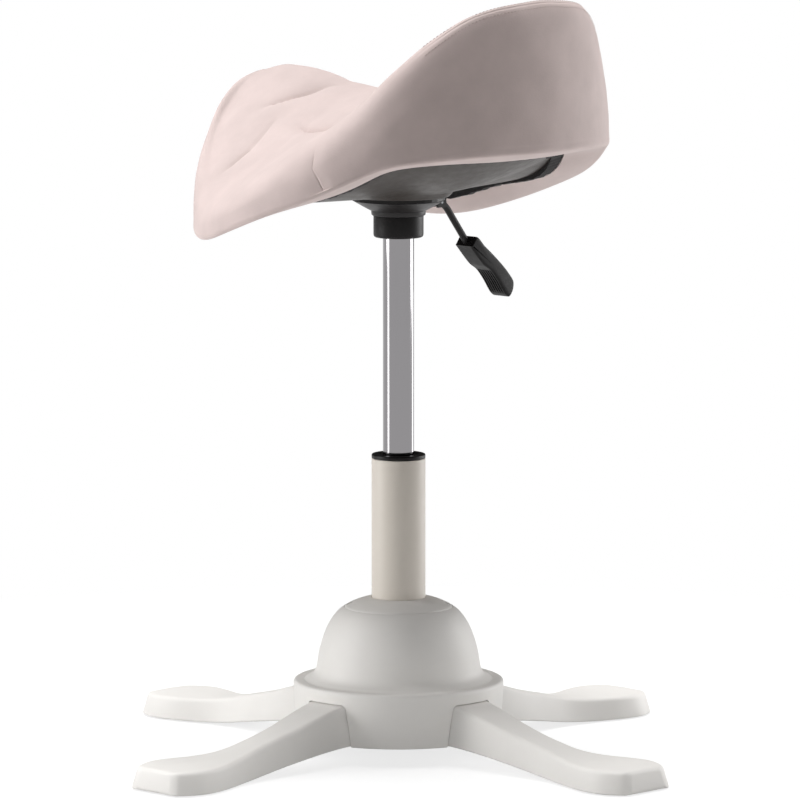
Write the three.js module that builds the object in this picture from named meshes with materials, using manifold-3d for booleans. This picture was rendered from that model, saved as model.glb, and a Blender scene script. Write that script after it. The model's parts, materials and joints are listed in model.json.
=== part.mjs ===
// A saddle stool: an upholstered saddle seat on a gas lift column, with a release lever and a four-legged base.
// Millimetres, +Z up. The origin is on the floor under the column. The seat's rear is at +Y, its right side at -X.

import * as THREE from 'three';
import { mergeVertices } from 'three/addons/utils/BufferGeometryUtils.js';
import Module from 'manifold-3d';

const wasm = await Module();
wasm.setup();

// Clearances
const gap = 0.3; // between pieces that rest on each other
const slotGap = 1.0; // round a leg where it enters the hub
const overrun = 2; // how far a cutting tool runs past the face that it opens

// Roundness, in sides
const hubSides = 44;
const tubeSides = 32;
const smallSides = 20;
const boltSides = 10;
const seatSides = 44;
const seatTopRings = 12;

// Base hub
const hubFloor = 17.5; // underside of the hub above the floor
const hubFootRadius = 95;
const hubRadius = 98;
const ledgeHeight = 68.5;
const ledgeRound = 4;
const domeRadius = 76;
const domeRise = 76.7; // top of the cap above the ledge
const coverWall = 4;
const capRadius = 50;
const capThickness = 4.5;
const capSlopeRise = 8.5; // the cap is a shallow cone
const capSeatWidth = 19;
// Outline of the dome from the ledge up to the cap, as shares of its radius and its rise
const domeShares = [
  [1.12, 0.018], [1.055, 0.052], [1.015, 0.11], [0.996, 0.2], [0.98, 0.3], [0.954, 0.41],
  [0.916, 0.53], [0.868, 0.645], [0.808, 0.745], [0.741, 0.825], [0.68, 0.872],
];

// Screws that hold the cap
const capScrewCircle = 45;
const capScrewHead = 2.8;
const capScrewShank = 1.5;
const capScrewSink = 1.4; // depth of the head under the cap's surface
const capScrewHeadHeight = 1.6;
const capScrewRecess = 3.2;
const capScrewLength = 9;

// Legs
const legCount = 4;
const legReach = 318;
const legRoot = 86; // where the full section begins, inside the hub's wall
const legRootHeight = 59.5;
const legRootFloor = 18.5;
const legHalfWidth = 30;
const legRound = 4.5;
const legSoleRound = 1.6;
const tipDraft = 5;
const soleHeight = 1.5; // underside of the foot above the floor
// Stations along a leg: run from root to tip, half width, side draft, top height, underside height, each as a share
// of the leg's run, its half width, the same half width, its height at the root, and its rise under the root
const legShares = [
  [0, 0.93, 0.15, 0.955, 1], [0.05, 0.91, 0.17, 0.925, 0.97], [0.15, 0.87, 0.2, 0.825, 0.84],
  [0.28, 0.85, 0.26, 0.68, 0.62], [0.38, 0.82, 0.28, 0.585, 0.42], [0.46, 0.82, 0.27, 0.515, 0.25],
  [0.53, 0.85, 0.25, 0.455, 0.12], [0.6, 0.94, 0.22, 0.41, 0.04], [0.68, 1.11, 0.2, 0.385, 0],
  [0.77, 1.32, 0.18, 0.378, 0], [0.85, 1.41, 0.17, 0.378, 0], [0.905, 1.36, 0.16, 0.375, 0],
  [0.955, 1.19, 0.15, 0.371, 0], [0.985, 1.01, 0.13, 0.365, 0], [1, 0.82, 0.12, 0.358, 0],
];
const tongueEnd = 42; // distance of the tongue's inner end from the column
const tongueHalfWidth = 18;
const tongueThickness = 20;

// Foot pads
const padRadius = 15;
const padRecess = 2; // depth of the pad's pocket in the foot
const padInset = 28; // from the tip of the leg in to the pad's middle

// Steel plate and socket inside the hub
const plateRadius = 82;
const plateThickness = 6;
const socketWall = 4.5;
const socketTop = 120;
const socketFloor = 28.5;

// Leg bolts
const boltShank = 4;
const boltHead = 7.2;
const boltHeadHeight = 5.3;
const boltPlaces = [55, 73]; // distances from the column
const boltStandOut = 1;

// Cover under the hub
const floorCoverThickness = 2;
const floorCoverLift = 2; // above the hub's lower edge

// Stand tube
const tubeRadius = 25;
const tubeWall = 1.7;
const tubeFloor = 26.5;
const tubeTop = 275.2;
const lipThickness = 3;
const lipHole = 6;

// Guide bush in the top of the stand tube
const bushLength = 72;
const bushFlange = 3.6;

// Bearing at the foot of the piston rod
const washerThickness = 1.5;
const washerRadius = 20;
const ballRadius = 2;
const ballCircle = 13;
const ballCount = 8;
const ballBands = 4;
const cageWidth = 9;
const cageThickness = 1.6;

// Piston rod
const rodRadius = 5;
const rodTop = 243.5;
const rodFloor = 23;
const rodShoulder = 9;
const rodShoulderHeight = 2;
const pistonSeat = 4; // radius of the rod inside the piston
const pistonHeight = 8;
const clipRadius = 9;
const clipThickness = 2;
const clipGroove = 4;
const stopRadius = 12;
const stopHeight = 4.5;

// Gas cylinder
const cylinderRadius = 14.5;
const cylinderBore = 11;
const cylinderFloor = 215.5; // lower end, with the seat raised
const cylinderTop = 502.5;
const taperLength = 20;
const taperTopRadius = 13.6;
const cylinderHead = 6;
const sealHeight = 12;
const valveRadius = 2.6;
const valveProud = 4;
const valveLength = 20;

// Column collar and the seat's mechanism
const collarRadius = 23.2;
const collarFloor = 481;
const collarRound = 3;
const bowlFloor = 501.5;
const bowlTop = 515.5;
const bowlRadius = 43;
const bowlNeck = 25;
const bowlWall = 2.4;
// Outline of the bowl from its neck to its rim, as shares of the widening and of the height
const bowlShares = [[0.02, 0.3], [0.14, 0.38], [0.36, 0.53], [0.66, 0.75], [0.88, 0.91], [1, 1]];
const mountThickness = 3;
const mountArmLength = 60;
const mountArmHalfWidth = 8;

// Release lever: it points to the seat's right and droops
const leverRadius = 3.2;
const leverTail = 3.5; // past the column's axis
const pivotReach = 52;
const pivotRadius = 1.5;
const bendReach = 58.5;
const leverDroop = THREE.MathUtils.degToRad(52);
const leverStem = 50.5; // from the bend to the handle
const leverInHandle = 13;
const leverSteps = 24;
const bracketWall = 2.4;
const bracketLength = 11;
const bracketDrop = 10.5;
const bracketWeb = 1.6;

// Lever handle
const handleLength = 70;
const handleDroop = THREE.MathUtils.degToRad(44);
const handleWidth = 22;
const handleDepth = 9; // from the rod's line to the upper face
const handleBevel = 1.5;
// Side outline of the handle, as shares of its length and of its depth
const handleShares = [
  [0, -0.62], [0.36, -0.7], [0.52, -0.46], [0.7, -0.56], [0.91, -0.84], [1, -0.72],
  [1.01, -0.3], [0.985, 0.35], [0.92, 0.9], [0.78, 1.06], [0.62, 1.07], [0.4, 0.96], [0.2, 0.8], [0, 0.68],
];
const ribCount = 6;
const ribPitch = 3;
const ribGroove = 1.5;
const ribDepth = 1.3;

// Seat outline and heights. Angles are in degrees round the column from the seat's rear, alike on both sides.
const seatRadius = 194;
const cantleRise = 190.4; // rear crest above the seat's underside
const seatRoll = 16;
const wallRoll = 17;
const rollShares = [0.25, 0.5, 0.75, 1];
const wallLeanShare = 0.52; // how far the crest's roll comes out to the widest line
// Rings down the wall: how far down, and how far out from the crest to the widest line
const wallShares = [[0.3, 0.82], [1, 1]];
const hemRoll = 4.5;
const outlineShares = [[0, 1], [60, 1], [100, 0.985], [140, 0.975], [180, 0.975]];
const crestOutShares = [
  [0, 0.93], [20, 0.93], [35, 0.908], [50, 0.88], [65, 0.872], [80, 0.885], [100, 0.915], [120, 0.94],
  [145, 0.957], [180, 0.953],
];
const crestShares = [
  [0, 1], [20, 0.958], [30, 0.883], [40, 0.773], [50, 0.63], [60, 0.475], [80, 0.262], [100, 0.077],
  [120, -0.01], [135, 0.065], [150, 0.24], [165, 0.46], [180, 0.548],
];
const hemShares = [
  [0, 0.275], [20, 0.273], [40, 0.25], [50, 0.222], [60, 0.145], [70, 0.07], [80, 0.01], [100, -0.109],
  [115, -0.178], [128, -0.183], [142, -0.115], [160, 0.02], [180, 0.15],
];
// Height of the top along the seat's middle line, against the distance from the column to the rear
const spineShares = [
  [-1, 0.548], [-0.8, 0.592], [-0.65, 0.592], [-0.54, 0.581], [-0.43, 0.556], [-0.33, 0.536], [-0.2, 0.519],
  [0, 0.51], [0.1, 0.505], [0.32, 0.512], [0.54, 0.606], [0.75, 0.774], [0.91, 0.927], [1, 1],
];
// How sharply the top bends down beside the middle line, in front and behind: 2 is a round arch, 1 a sharp ridge
const ridgePowers = [[-0.2, 1.4], [0.4, 2]];
// Height of the seat's underside at the rim of the shell
const rimShares = [
  [0, 0.24], [45, 0.222], [60, 0.145], [70, 0.09], [85, 0.03], [100, 0], [121, -0.016], [134, -0.025],
  [153, -0.012], [180, 0.062],
];
const shellRadius = 150;
const shellThickness = 3;
const boardThickness = 8;
const boardInset = 2;
const bossRadius = 46;
const bossEdge = 4;
const saddleShares = [0.55, 0.8, 1]; // rings of a sheet outside the boss, as shares of the shell's radius
const stripWidth = 2.7;
const stripDrop = 0.5; // the edge strip reaches a little below the shell

// Creases sewn into the seat's top
const creaseDepth = 5;
const creaseHalfWidth = 12;
const panelRadius = 172.5;
const borderDepth = 1;
// Creases on each flank, each a row of places: out from the middle line and towards the rear, and a share of depth
const creaseShares = [
  [[0.34, -0.634, 0], [0.244, -0.5, 1], [0.145, -0.402, 0.9], [0.021, -0.273, 0]],
  [[0.675, -0.557, 0], [0.598, -0.485, 0.7], [0.496, -0.443, 0.7], [0.361, -0.448, 0]],
  [[0.402, -0.289, 0], [0.482, -0.078, 1.4], [0.513, 0.103, 0.8], [0.51, 0.186, 0]],
];

// Bolts that hold the seat to its mount
const seatBoltCircle = 23;
const seatBoltShank = 3;
const seatBoltHead = 5;
const seatBoltHeadHeight = 4.2;
const nutBarrel = 5;
const nutFlange = 8;
const nutFlangeThickness = 1.5;

// Finishes
function finish(color, roughness, metalness) {
  return new THREE.MeshStandardMaterial({ color, roughness, metalness });
}
const finishes = {
  baseCoat: () => finish(0xe6e3de, 0.55, 0),
  tubeCoat: () => finish(0xd9d2c8, 0.45, 0),
  chrome: () => finish(0x9f9d9f, 0.12, 1),
  steel: () => finish(0x8d8f92, 0.35, 1),
  blackPlastic: () => finish(0x131212, 0.5, 0),
  darkPlastic: () => finish(0x252323, 0.5, 0),
  shellPlastic: () => finish(0x3e3935, 0.6, 0),
  rubber: () => finish(0x222222, 0.9, 0),
  wood: () => finish(0xc9a978, 0.7, 0),
  fabric: () => finish(0xdac9c5, 0.85, 0),
};

const stool = new THREE.Group();

// Closed solids

// Merges a geometry's shared corners, drops flat triangles and turns the faces outwards.
function tidied(geometry) {
  const bare = new THREE.BufferGeometry();
  bare.setAttribute('position', geometry.getAttribute('position').clone());
  if (geometry.index) bare.setIndex(geometry.index.clone());
  const merged = mergeVertices(bare, gap / 1000);
  const kept = [];
  const index = merged.index.array;
  for (let i = 0; i < index.length; i += 3) {
    const [a, b, c] = [index[i], index[i + 1], index[i + 2]];
    if (a !== b && b !== c && c !== a) kept.push(a, b, c);
  }
  if (signedVolume(merged.getAttribute('position'), kept) < 0) kept.reverse();
  merged.setIndex(kept);
  return merged;
}

function signedVolume(position, index) {
  const a = new THREE.Vector3();
  const b = new THREE.Vector3();
  const c = new THREE.Vector3();
  let total = 0;
  for (let i = 0; i < index.length; i += 3) {
    a.fromBufferAttribute(position, index[i]);
    b.fromBufferAttribute(position, index[i + 1]);
    c.fromBufferAttribute(position, index[i + 2]);
    total += a.dot(b.cross(c));
  }
  return total;
}

function toManifold(geometry) {
  const solid = tidied(geometry);
  return new wasm.Manifold(new wasm.Mesh({
    numProp: 3,
    vertProperties: new Float32Array(solid.getAttribute('position').array),
    triVerts: new Uint32Array(solid.index.array),
  }));
}

function fromManifold(solid) {
  const mesh = solid.getMesh();
  const geometry = new THREE.BufferGeometry();
  geometry.setAttribute('position', new THREE.BufferAttribute(new Float32Array(mesh.vertProperties), 3));
  geometry.setIndex(Array.from(mesh.triVerts));
  return geometry;
}

function cut(body, tools) {
  return fromManifold(tools.reduce((left, tool) => left.subtract(toManifold(tool)), toManifold(body)));
}

function join(body, others) {
  return fromManifold(others.reduce((sum, other) => sum.add(toManifold(other)), toManifold(body)));
}

// A solid of revolution about Z. The profile holds [radius, height] points and closes on itself.
function turned(profile, sides) {
  const closed = [...profile, profile[0]].map(([radius, height]) => new THREE.Vector2(radius, height));
  return new THREE.LatheGeometry(closed, sides).rotateX(Math.PI / 2);
}

function disc(radius, bottom, top, sides) {
  return turned([[0, bottom], [radius, bottom], [radius, top], [0, top]], sides);
}

function ring(inner, outer, bottom, top, sides) {
  return turned([[inner, bottom], [outer, bottom], [outer, top], [inner, top]], sides);
}

// A box between two corners.
function block([x0, y0, z0], [x1, y1, z1]) {
  const box = new THREE.BoxGeometry(x1 - x0, y1 - y0, z1 - z0);
  return box.translate((x0 + x1) / 2, (y0 + y1) / 2, (z0 + z1) / 2);
}

function distance(p, q) {
  return Math.hypot(p[0] - q[0], p[1] - q[1], p[2] - q[2]);
}

// A skin over a run of closed rings of [x, y, z] points, with flat ends, or joined end to start. Each four-sided
// face is split along its shorter diagonal, so that two skins of one shape run parallel.
function lofted(rings, looped = false) {
  const sides = rings[0].length;
  const points = rings.flat();
  const faces = [];
  const spans = looped ? rings.length : rings.length - 1;
  for (let i = 0; i < spans; i += 1) {
    const next = (i + 1) % rings.length;
    for (let j = 0; j < sides; j += 1) {
      const k = (j + 1) % sides;
      const [a, b, c, d] = [i * sides + j, i * sides + k, next * sides + k, next * sides + j];
      const even = distance(points[a], points[c]) <= distance(points[b], points[d]);
      faces.push(...(even ? [a, b, c, a, c, d] : [a, b, d, b, c, d]));
    }
  }
  if (!looped) {
    for (const [row, turn] of [[0, 1], [rings.length - 1, -1]]) {
      const middle = rings[row].reduce((sum, p) => sum.map((v, i) => v + p[i] / sides), [0, 0, 0]);
      points.push(middle);
      for (let j = 0; j < sides; j += 1) {
        const [a, b] = [row * sides + j, row * sides + ((j + 1) % sides)];
        faces.push(...(turn > 0 ? [b, a, points.length - 1] : [a, b, points.length - 1]));
      }
    }
  }
  const geometry = new THREE.BufferGeometry();
  geometry.setAttribute('position', new THREE.Float32BufferAttribute(points.flat(), 3));
  geometry.setIndex(faces);
  return geometry;
}

// Smooth value at x through a table of [place, value] rows.
function smooth(table, x) {
  const last = table.length - 1;
  const at = Math.min(Math.max(x, table[0][0]), table[last][0]);
  let i = 0;
  while (i < last - 1 && at > table[i + 1][0]) i += 1;
  const slope = (k) => {
    const before = table[Math.max(k - 1, 0)];
    const after = table[Math.min(k + 1, last)];
    return (after[1] - before[1]) / (after[0] - before[0]);
  };
  const [x0, y0] = table[i];
  const [x1, y1] = table[i + 1];
  const span = x1 - x0;
  const t = (at - x0) / span;
  const rise = (2 * t ** 3 - 3 * t ** 2 + 1) * y0 + (3 * t ** 2 - 2 * t ** 3) * y1;
  return rise + (t ** 3 - 2 * t ** 2 + t) * span * slope(i) + (t ** 3 - t ** 2) * span * slope(i + 1);
}

// Smooth value in column n of a table whose first column is the place.
function column(table, n, x) {
  return smooth(table.map((row) => [row[0], row[n]]), x);
}

function add(name, geometry, material, parent = stool) {
  const mesh = new THREE.Mesh(tidied(geometry), material());
  mesh.name = name;
  parent.add(mesh);
  return mesh;
}

// Heights and places that several pieces share

const padReach = legReach - padInset;
const plateTop = ledgeHeight - coverWall - gap;
const plateFloor = plateTop - plateThickness;
const tongueTop = plateFloor - gap;
const tongueFloor = tongueTop - tongueThickness;
const capTop = ledgeHeight + domeRise;
const capRimHeight = capTop - capSlopeRise;
const bushTop = tubeTop + gap + bushFlange;
const mountFloor = bowlTop + gap;
const mountTop = mountFloor + mountThickness;
const seatFloor = mountTop + gap;
const tubeBore = tubeRadius - tubeWall;
const leverHeight = cylinderTop + valveProud + gap + leverRadius;

// Base

function hubOutline() {
  const dome = domeShares.map(([r, h]) => [r * domeRadius, ledgeHeight + h * domeRise]);
  return [
    [hubFootRadius, hubFloor],
    [hubRadius, ledgeHeight - ledgeRound],
    [hubRadius - ledgeRound * 0.25, ledgeHeight - ledgeRound * 0.3],
    [hubRadius - ledgeRound * 0.8, ledgeHeight],
    ...dome,
    [capRadius + gap, capRimHeight],
  ];
}

// Moves each point of an outline inwards by the wall's thickness.
function inset(outline, wall) {
  return outline.map((point, i) => {
    const before = outline[Math.max(i - 1, 0)];
    const after = outline[Math.min(i + 1, outline.length - 1)];
    const [dr, dh] = [after[0] - before[0], after[1] - before[1]];
    const length = Math.hypot(dr, dh);
    return [point[0] - (dh / length) * wall, point[1] + (dr / length) * wall];
  });
}

// Height of the cap's upper face at a distance from the column.
function capHeight(radius) {
  return capTop - capSlopeRise * (radius - tubeRadius) / (capRadius - tubeRadius);
}

function baseCover() {
  const outside = hubOutline();
  const inside = inset(outside.filter((_, i) => i < 3 || i % 2 === 0), coverWall).slice(1);
  const seatInner = capRadius - capSeatWidth;
  const seat = [
    [capRadius + gap, capHeight(capRadius) - capThickness - gap],
    [seatInner, capHeight(seatInner) - capThickness - gap],
    [seatInner, capHeight(seatInner) - capThickness - gap - coverWall],
  ];
  const foot = [[hubFootRadius - coverWall, hubFloor]];
  const shell = turned([...outside, ...seat, ...inside.reverse(), ...foot], hubSides);
  const slots = legTurns().map((turn) => legSlot(slotGap).rotateZ(turn));
  const holeFloor = capScrewFloor() - capScrewLength - overrun;
  const screwHoles = capScrewTurns().map((turn) => capScrewBore(capScrewShank + gap, holeFloor, turn));
  return cut(shell, [...slots, ...screwHoles]);
}

function capScrewTurns() {
  return [1, 3].map((step) => Math.PI * (step / 2 + 1 / 4));
}

// A hole for a cap screw, from a height up through the cap's surface.
function capScrewBore(radius, floor, turn) {
  return disc(radius, floor, capTop, boltSides).translate(capScrewCircle, 0, 0).rotateZ(turn);
}

// Height of the underside of a cap screw's head.
function capScrewFloor() {
  return capHeight(capScrewCircle) - capScrewSink - capScrewHeadHeight;
}

function domeCap() {
  const innerRadius = tubeRadius + gap;
  const outer = [[innerRadius, capTop], [capRadius, capRimHeight]];
  const under = outer.map(([r, h]) => [r, h - capThickness]).reverse();
  const holes = capScrewTurns().flatMap((turn) => [
    capScrewBore(capScrewRecess, capScrewFloor() - gap, turn),
    capScrewBore(capScrewShank + gap, capScrewFloor() - capScrewLength, turn),
  ]);
  return cut(turned([...outer, ...under], hubSides), holes);
}

function capScrew(turn) {
  const headFloor = capScrewFloor();
  const headTop = headFloor + capScrewHeadHeight;
  const profile = [
    [0, headTop], [capScrewHead, headTop - gap], [capScrewHead, headFloor], [capScrewShank, headFloor],
    [capScrewShank, headFloor - capScrewLength], [0, headFloor - capScrewLength],
  ];
  return turned(profile, boltSides).translate(capScrewCircle, 0, 0).rotateZ(turn);
}

function legTurns() {
  return Array.from({ length: legCount }, (_, i) => (i * 2 * Math.PI) / legCount);
}

// Half section of a leg at a share of its run, with its corners rounded. Grow makes the slot's larger copy.
function legSection(share, grow = 0) {
  const half = column(legShares, 1, share) * legHalfWidth + grow;
  const draft = column(legShares, 2, share) * legHalfWidth;
  const top = column(legShares, 3, share) * legRootHeight + grow;
  const floor = soleHeight + column(legShares, 4, share) * (legRootFloor - soleHeight) - grow;
  return section(half, half - draft, floor, top);
}

// Ten [y, z] points round a section that is wider at its foot than at its top.
function section(footHalf, topHalf, floor, top) {
  const height = top - floor;
  const cornerHalf = topHalf + (footHalf - topHalf) * (legRound / height);
  const soft = legRound * (1 - Math.SQRT1_2);
  const right = [
    [footHalf - legSoleRound, floor], [footHalf, floor + legSoleRound], [cornerHalf, top - legRound],
    [topHalf - soft, top - soft], [topHalf - legRound, top],
  ];
  return [...right, ...right.map(([y, z]) => [-y, z]).reverse()];
}

function legSlot(grow) {
  const shares = [0, 0, 0.05, 0.15];
  const run = legReach - legRoot;
  const rings = shares.map((share, i) => {
    const x = legRoot + share * run - (i === 0 ? legRootFloor : 0);
    const ringPoints = legSection(share, grow);
    return ringPoints.map(([y, z]) => [x, y, z < hubFloor + legSoleRound + grow ? hubFloor - overrun : z]);
  });
  return lofted(rings);
}

function leg() {
  const run = legReach - legRoot;
  const tongue = section(tongueHalfWidth, tongueHalfWidth, tongueFloor, tongueTop);
  const rings = [tongueEnd, legRoot].map((x) => tongue.map(([y, z]) => [x, y, z]));
  for (const [share] of legShares) {
    const lean = Math.max(0, share * 2 - 1) * tipDraft;
    const points = legSection(share);
    const top = column(legShares, 3, share) * legRootHeight;
    rings.push(points.map(([y, z]) => [legRoot + share * run - lean * (z / top), y, z]));
  }
  const pocket = disc(padRadius + gap, 0, soleHeight + padRecess + gap, smallSides).translate(padReach, 0, 0);
  const bores = boltPlaces.map((x) => (
    disc(boltShank + gap, tongueFloor - overrun, tongueTop + overrun, boltSides).translate(x, 0, 0)
  ));
  return cut(lofted(rings), [pocket, ...bores]);
}

function footPad() {
  const top = soleHeight + padRecess;
  const profile = [[0, 0], [padRadius - soleHeight, 0], [padRadius, soleHeight], [padRadius, top], [0, top]];
  return turned(profile, smallSides).translate(padReach, 0, 0);
}

function socketPlate() {
  const inner = tubeRadius + gap;
  const outer = inner + socketWall;
  const profile = [
    [inner, socketFloor], [outer, socketFloor], [outer, plateFloor], [plateRadius, plateFloor],
    [plateRadius, plateTop], [outer, plateTop], [outer, socketTop], [inner, socketTop],
  ];
  const bores = legTurns().flatMap((turn) => boltPlaces.map((x) => (
    disc(boltShank + gap, plateFloor - overrun, plateTop + overrun, boltSides).translate(x, 0, 0).rotateZ(turn)
  )));
  return cut(turned(profile, hubSides), bores);
}

function legBolt(x, turn) {
  const head = disc(boltHead, tongueFloor - gap - boltHeadHeight, tongueFloor - gap, 6);
  const shank = disc(boltShank, tongueFloor - boltHeadHeight, plateTop - boltStandOut, boltSides);
  return join(head, [shank]).translate(x, 0, 0).rotateZ(turn);
}

function floorCover() {
  const floor = hubFloor + floorCoverLift;
  const wallShare = floorCoverLift / (ledgeHeight - hubFloor);
  const radius = hubFootRadius - coverWall + (hubRadius - hubFootRadius) * wallShare - 2 * gap;
  const notches = legTurns().map((turn) => legSlot(slotGap).rotateZ(turn));
  return cut(disc(radius, floor, floor + floorCoverThickness, hubSides), notches);
}

function standTube() {
  const profile = [
    [lipHole, tubeFloor], [tubeRadius, tubeFloor], [tubeRadius, tubeTop], [tubeBore, tubeTop],
    [tubeBore, tubeFloor + lipThickness], [lipHole, tubeFloor + lipThickness],
  ];
  return turned(profile, tubeSides);
}

function guideBush() {
  const inner = cylinderRadius + gap;
  const outer = tubeBore - gap;
  const profile = [
    [inner, tubeTop - bushLength], [outer, tubeTop - bushLength], [outer, tubeTop + gap],
    [tubeRadius, tubeTop + gap], [tubeRadius, bushTop - gap], [tubeRadius - gap, bushTop], [inner, bushTop],
  ];
  return turned(profile, tubeSides);
}

// Bearing and piston rod

const lowerWasherFloor = tubeFloor + lipThickness + gap;
const ballFloor = lowerWasherFloor + washerThickness + gap;
const upperWasherFloor = ballFloor + 2 * ballRadius + gap;
const shoulderFloor = upperWasherFloor + washerThickness + gap;
const pistonFloor = rodTop - pistonHeight - gap;

function washer(floor) {
  return ring(rodRadius + gap, washerRadius, floor, floor + washerThickness, smallSides);
}

function ballCage() {
  const middle = ballFloor + ballRadius;
  const half = cageThickness / 2;
  const reach = cageWidth / 2;
  const cage = ring(ballCircle - reach, ballCircle + reach, middle - half, middle + half, smallSides);
  const balls = Array.from({ length: ballCount }, (_, i) => (
    new THREE.SphereGeometry(ballRadius, boltSides, ballBands).rotateX(Math.PI / 2)
      .translate(ballCircle, 0, middle).rotateZ((i * 2 * Math.PI) / ballCount)
  ));
  return join(cage, balls);
}

function pistonRod() {
  const clipTop = tubeFloor - gap;
  const grooveTop = clipTop + gap;
  const grooveFloor = clipTop - clipThickness - gap;
  const profile = [
    [0, rodFloor], [rodRadius, rodFloor], [rodRadius, grooveFloor], [clipGroove, grooveFloor],
    [clipGroove, grooveTop], [rodRadius, grooveTop], [rodRadius, shoulderFloor], [rodShoulder, shoulderFloor],
    [rodShoulder, shoulderFloor + rodShoulderHeight], [rodRadius, shoulderFloor + rodShoulderHeight],
    [rodRadius, pistonFloor - gap], [pistonSeat, pistonFloor - gap], [pistonSeat, rodTop], [0, rodTop],
  ];
  return turned(profile, smallSides);
}

function retainingClip() {
  const top = tubeFloor - gap;
  return ring(clipGroove + gap, clipRadius, top - clipThickness, top, smallSides);
}

function bumpStop() {
  const floor = shoulderFloor + rodShoulderHeight + gap;
  return ring(rodRadius + gap, stopRadius, floor, floor + stopHeight, smallSides);
}

function piston() {
  return ring(pistonSeat + gap, cylinderBore - gap, pistonFloor, pistonFloor + pistonHeight, smallSides);
}

// Gas cylinder and mechanism

function gasCylinder() {
  const valveHole = valveRadius + gap;
  const profile = [
    [cylinderBore, cylinderFloor], [cylinderRadius, cylinderFloor], [cylinderRadius, cylinderTop - taperLength],
    [taperTopRadius, cylinderTop], [valveHole, cylinderTop], [valveHole, cylinderTop - cylinderHead],
    [cylinderBore, cylinderTop - cylinderHead],
  ];
  return turned(profile, tubeSides);
}

function cylinderSeal() {
  return ring(rodRadius + gap, cylinderBore - gap, cylinderFloor, cylinderFloor + sealHeight, smallSides);
}

function valvePin() {
  const top = cylinderTop + valveProud;
  return disc(valveRadius, top - valveLength, top, boltSides);
}

function columnCollar() {
  const inner = cylinderRadius + gap;
  const soft = collarRound * (1 - Math.SQRT1_2);
  const profile = [
    [inner, collarFloor], [collarRadius - collarRound, collarFloor], [collarRadius - soft, collarFloor + soft],
    [collarRadius, collarFloor + collarRound], [collarRadius, bowlFloor - gap], [inner, bowlFloor - gap],
  ];
  return turned(profile, tubeSides);
}

function mechanismBowl() {
  const hole = taperTopRadius + 2 * gap;
  const rise = bowlTop - bowlFloor;
  const flare = bowlShares.map(([r, h]) => [bowlNeck + r * (bowlRadius - bowlNeck), bowlFloor + h * rise]);
  const inner = inset(flare, bowlWall).filter(([, height]) => height < bowlTop - gap).slice(1).reverse();
  const profile = [
    [hole, bowlFloor], [bowlNeck - gap, bowlFloor], [bowlNeck, bowlFloor + gap], ...flare,
    [bowlRadius - 2 * bowlWall, bowlTop], ...inner, [hole, bowlFloor + bowlWall],
  ];
  const half = leverRadius + slotGap;
  const floor = leverHeight - leverRadius - slotGap - bowlWall;
  const top = leverHeight + leverRadius + gap;
  const slot = block([-bowlRadius, -half, floor], [-taperTopRadius, half, top]);
  return cut(turned(profile, tubeSides), [slot]);
}

function seatBoltTurns() {
  return legTurns().map((turn) => turn + Math.PI / legCount);
}

function boltBores(radius, floor, top) {
  const bore = (turn) => disc(radius, floor, top, boltSides).translate(seatBoltCircle, 0, 0).rotateZ(turn);
  return seatBoltTurns().map(bore);
}

function mountPlate() {
  const round = disc(bowlRadius, mountFloor, mountTop, tubeSides);
  const arm = block([-mountArmLength, -mountArmHalfWidth, mountFloor], [0, mountArmHalfWidth, mountTop]);
  return cut(join(round, [arm]), boltBores(seatBoltShank + gap, mountFloor - overrun, mountTop + overrun));
}

// Release lever

function leverLine() {
  const stem = [Math.cos(leverDroop), Math.sin(leverDroop)];
  const grip = [Math.cos(handleDroop), Math.sin(handleDroop)];
  const bend = [bendReach, leverHeight];
  const neck = [bend[0] + stem[0] * leverStem, bend[1] - stem[1] * leverStem];
  const end = [neck[0] + grip[0] * leverInHandle, neck[1] - grip[1] * leverInHandle];
  return { bend, neck, end, stem, grip };
}

function leverRod() {
  const { bend, neck, end, stem, grip } = leverLine();
  const round = 2 * leverRadius;
  const at = ([out, height]) => new THREE.Vector3(-out, 0, height);
  const path = new THREE.CurvePath();
  const before = [bend[0] - round, bend[1]];
  const after = [bend[0] + stem[0] * round, bend[1] - stem[1] * round];
  const beforeNeck = [neck[0] - stem[0] * leverRadius, neck[1] + stem[1] * leverRadius];
  const afterNeck = [neck[0] + grip[0] * leverRadius, neck[1] - grip[1] * leverRadius];
  path.add(new THREE.LineCurve3(at([-leverTail, leverHeight]), at(before)));
  path.add(new THREE.QuadraticBezierCurve3(at(before), at(bend), at(after)));
  path.add(new THREE.LineCurve3(at(after), at(beforeNeck)));
  path.add(new THREE.QuadraticBezierCurve3(at(beforeNeck), at(neck), at(afterNeck)));
  path.add(new THREE.LineCurve3(at(afterNeck), at(end)));
  const outline = new THREE.Shape().absarc(0, 0, leverRadius, 0, 2 * Math.PI);
  const rod = new THREE.ExtrudeGeometry(outline, {
    steps: leverSteps, curveSegments: boltSides / 2, extrudePath: path, bevelEnabled: false,
  });
  return cut(rod, [pivotBore(pivotRadius + gap, 2 * leverRadius)]);
}

// A cylinder along Y at the lever's pivot.
function pivotBore(radius, half) {
  return disc(radius, -half, half, boltSides).rotateX(Math.PI / 2).translate(-pivotReach, 0, leverHeight);
}

function pivotPin() {
  return pivotBore(pivotRadius, leverRadius + gap + bracketWall);
}

function leverBracket() {
  const inner = leverRadius + gap;
  const outer = inner + bracketWall;
  const [near, far] = [-pivotReach + bracketLength / 2, -pivotReach - bracketLength / 2];
  const floor = bowlTop - bracketDrop;
  const body = block([far, -outer, floor], [near, outer, bowlTop]);
  const channel = block([far - overrun, -inner, floor - overrun], [near + overrun, inner, bowlTop - bracketWeb]);
  return cut(body, [channel, pivotBore(pivotRadius + gap, outer + overrun)]);
}

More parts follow.
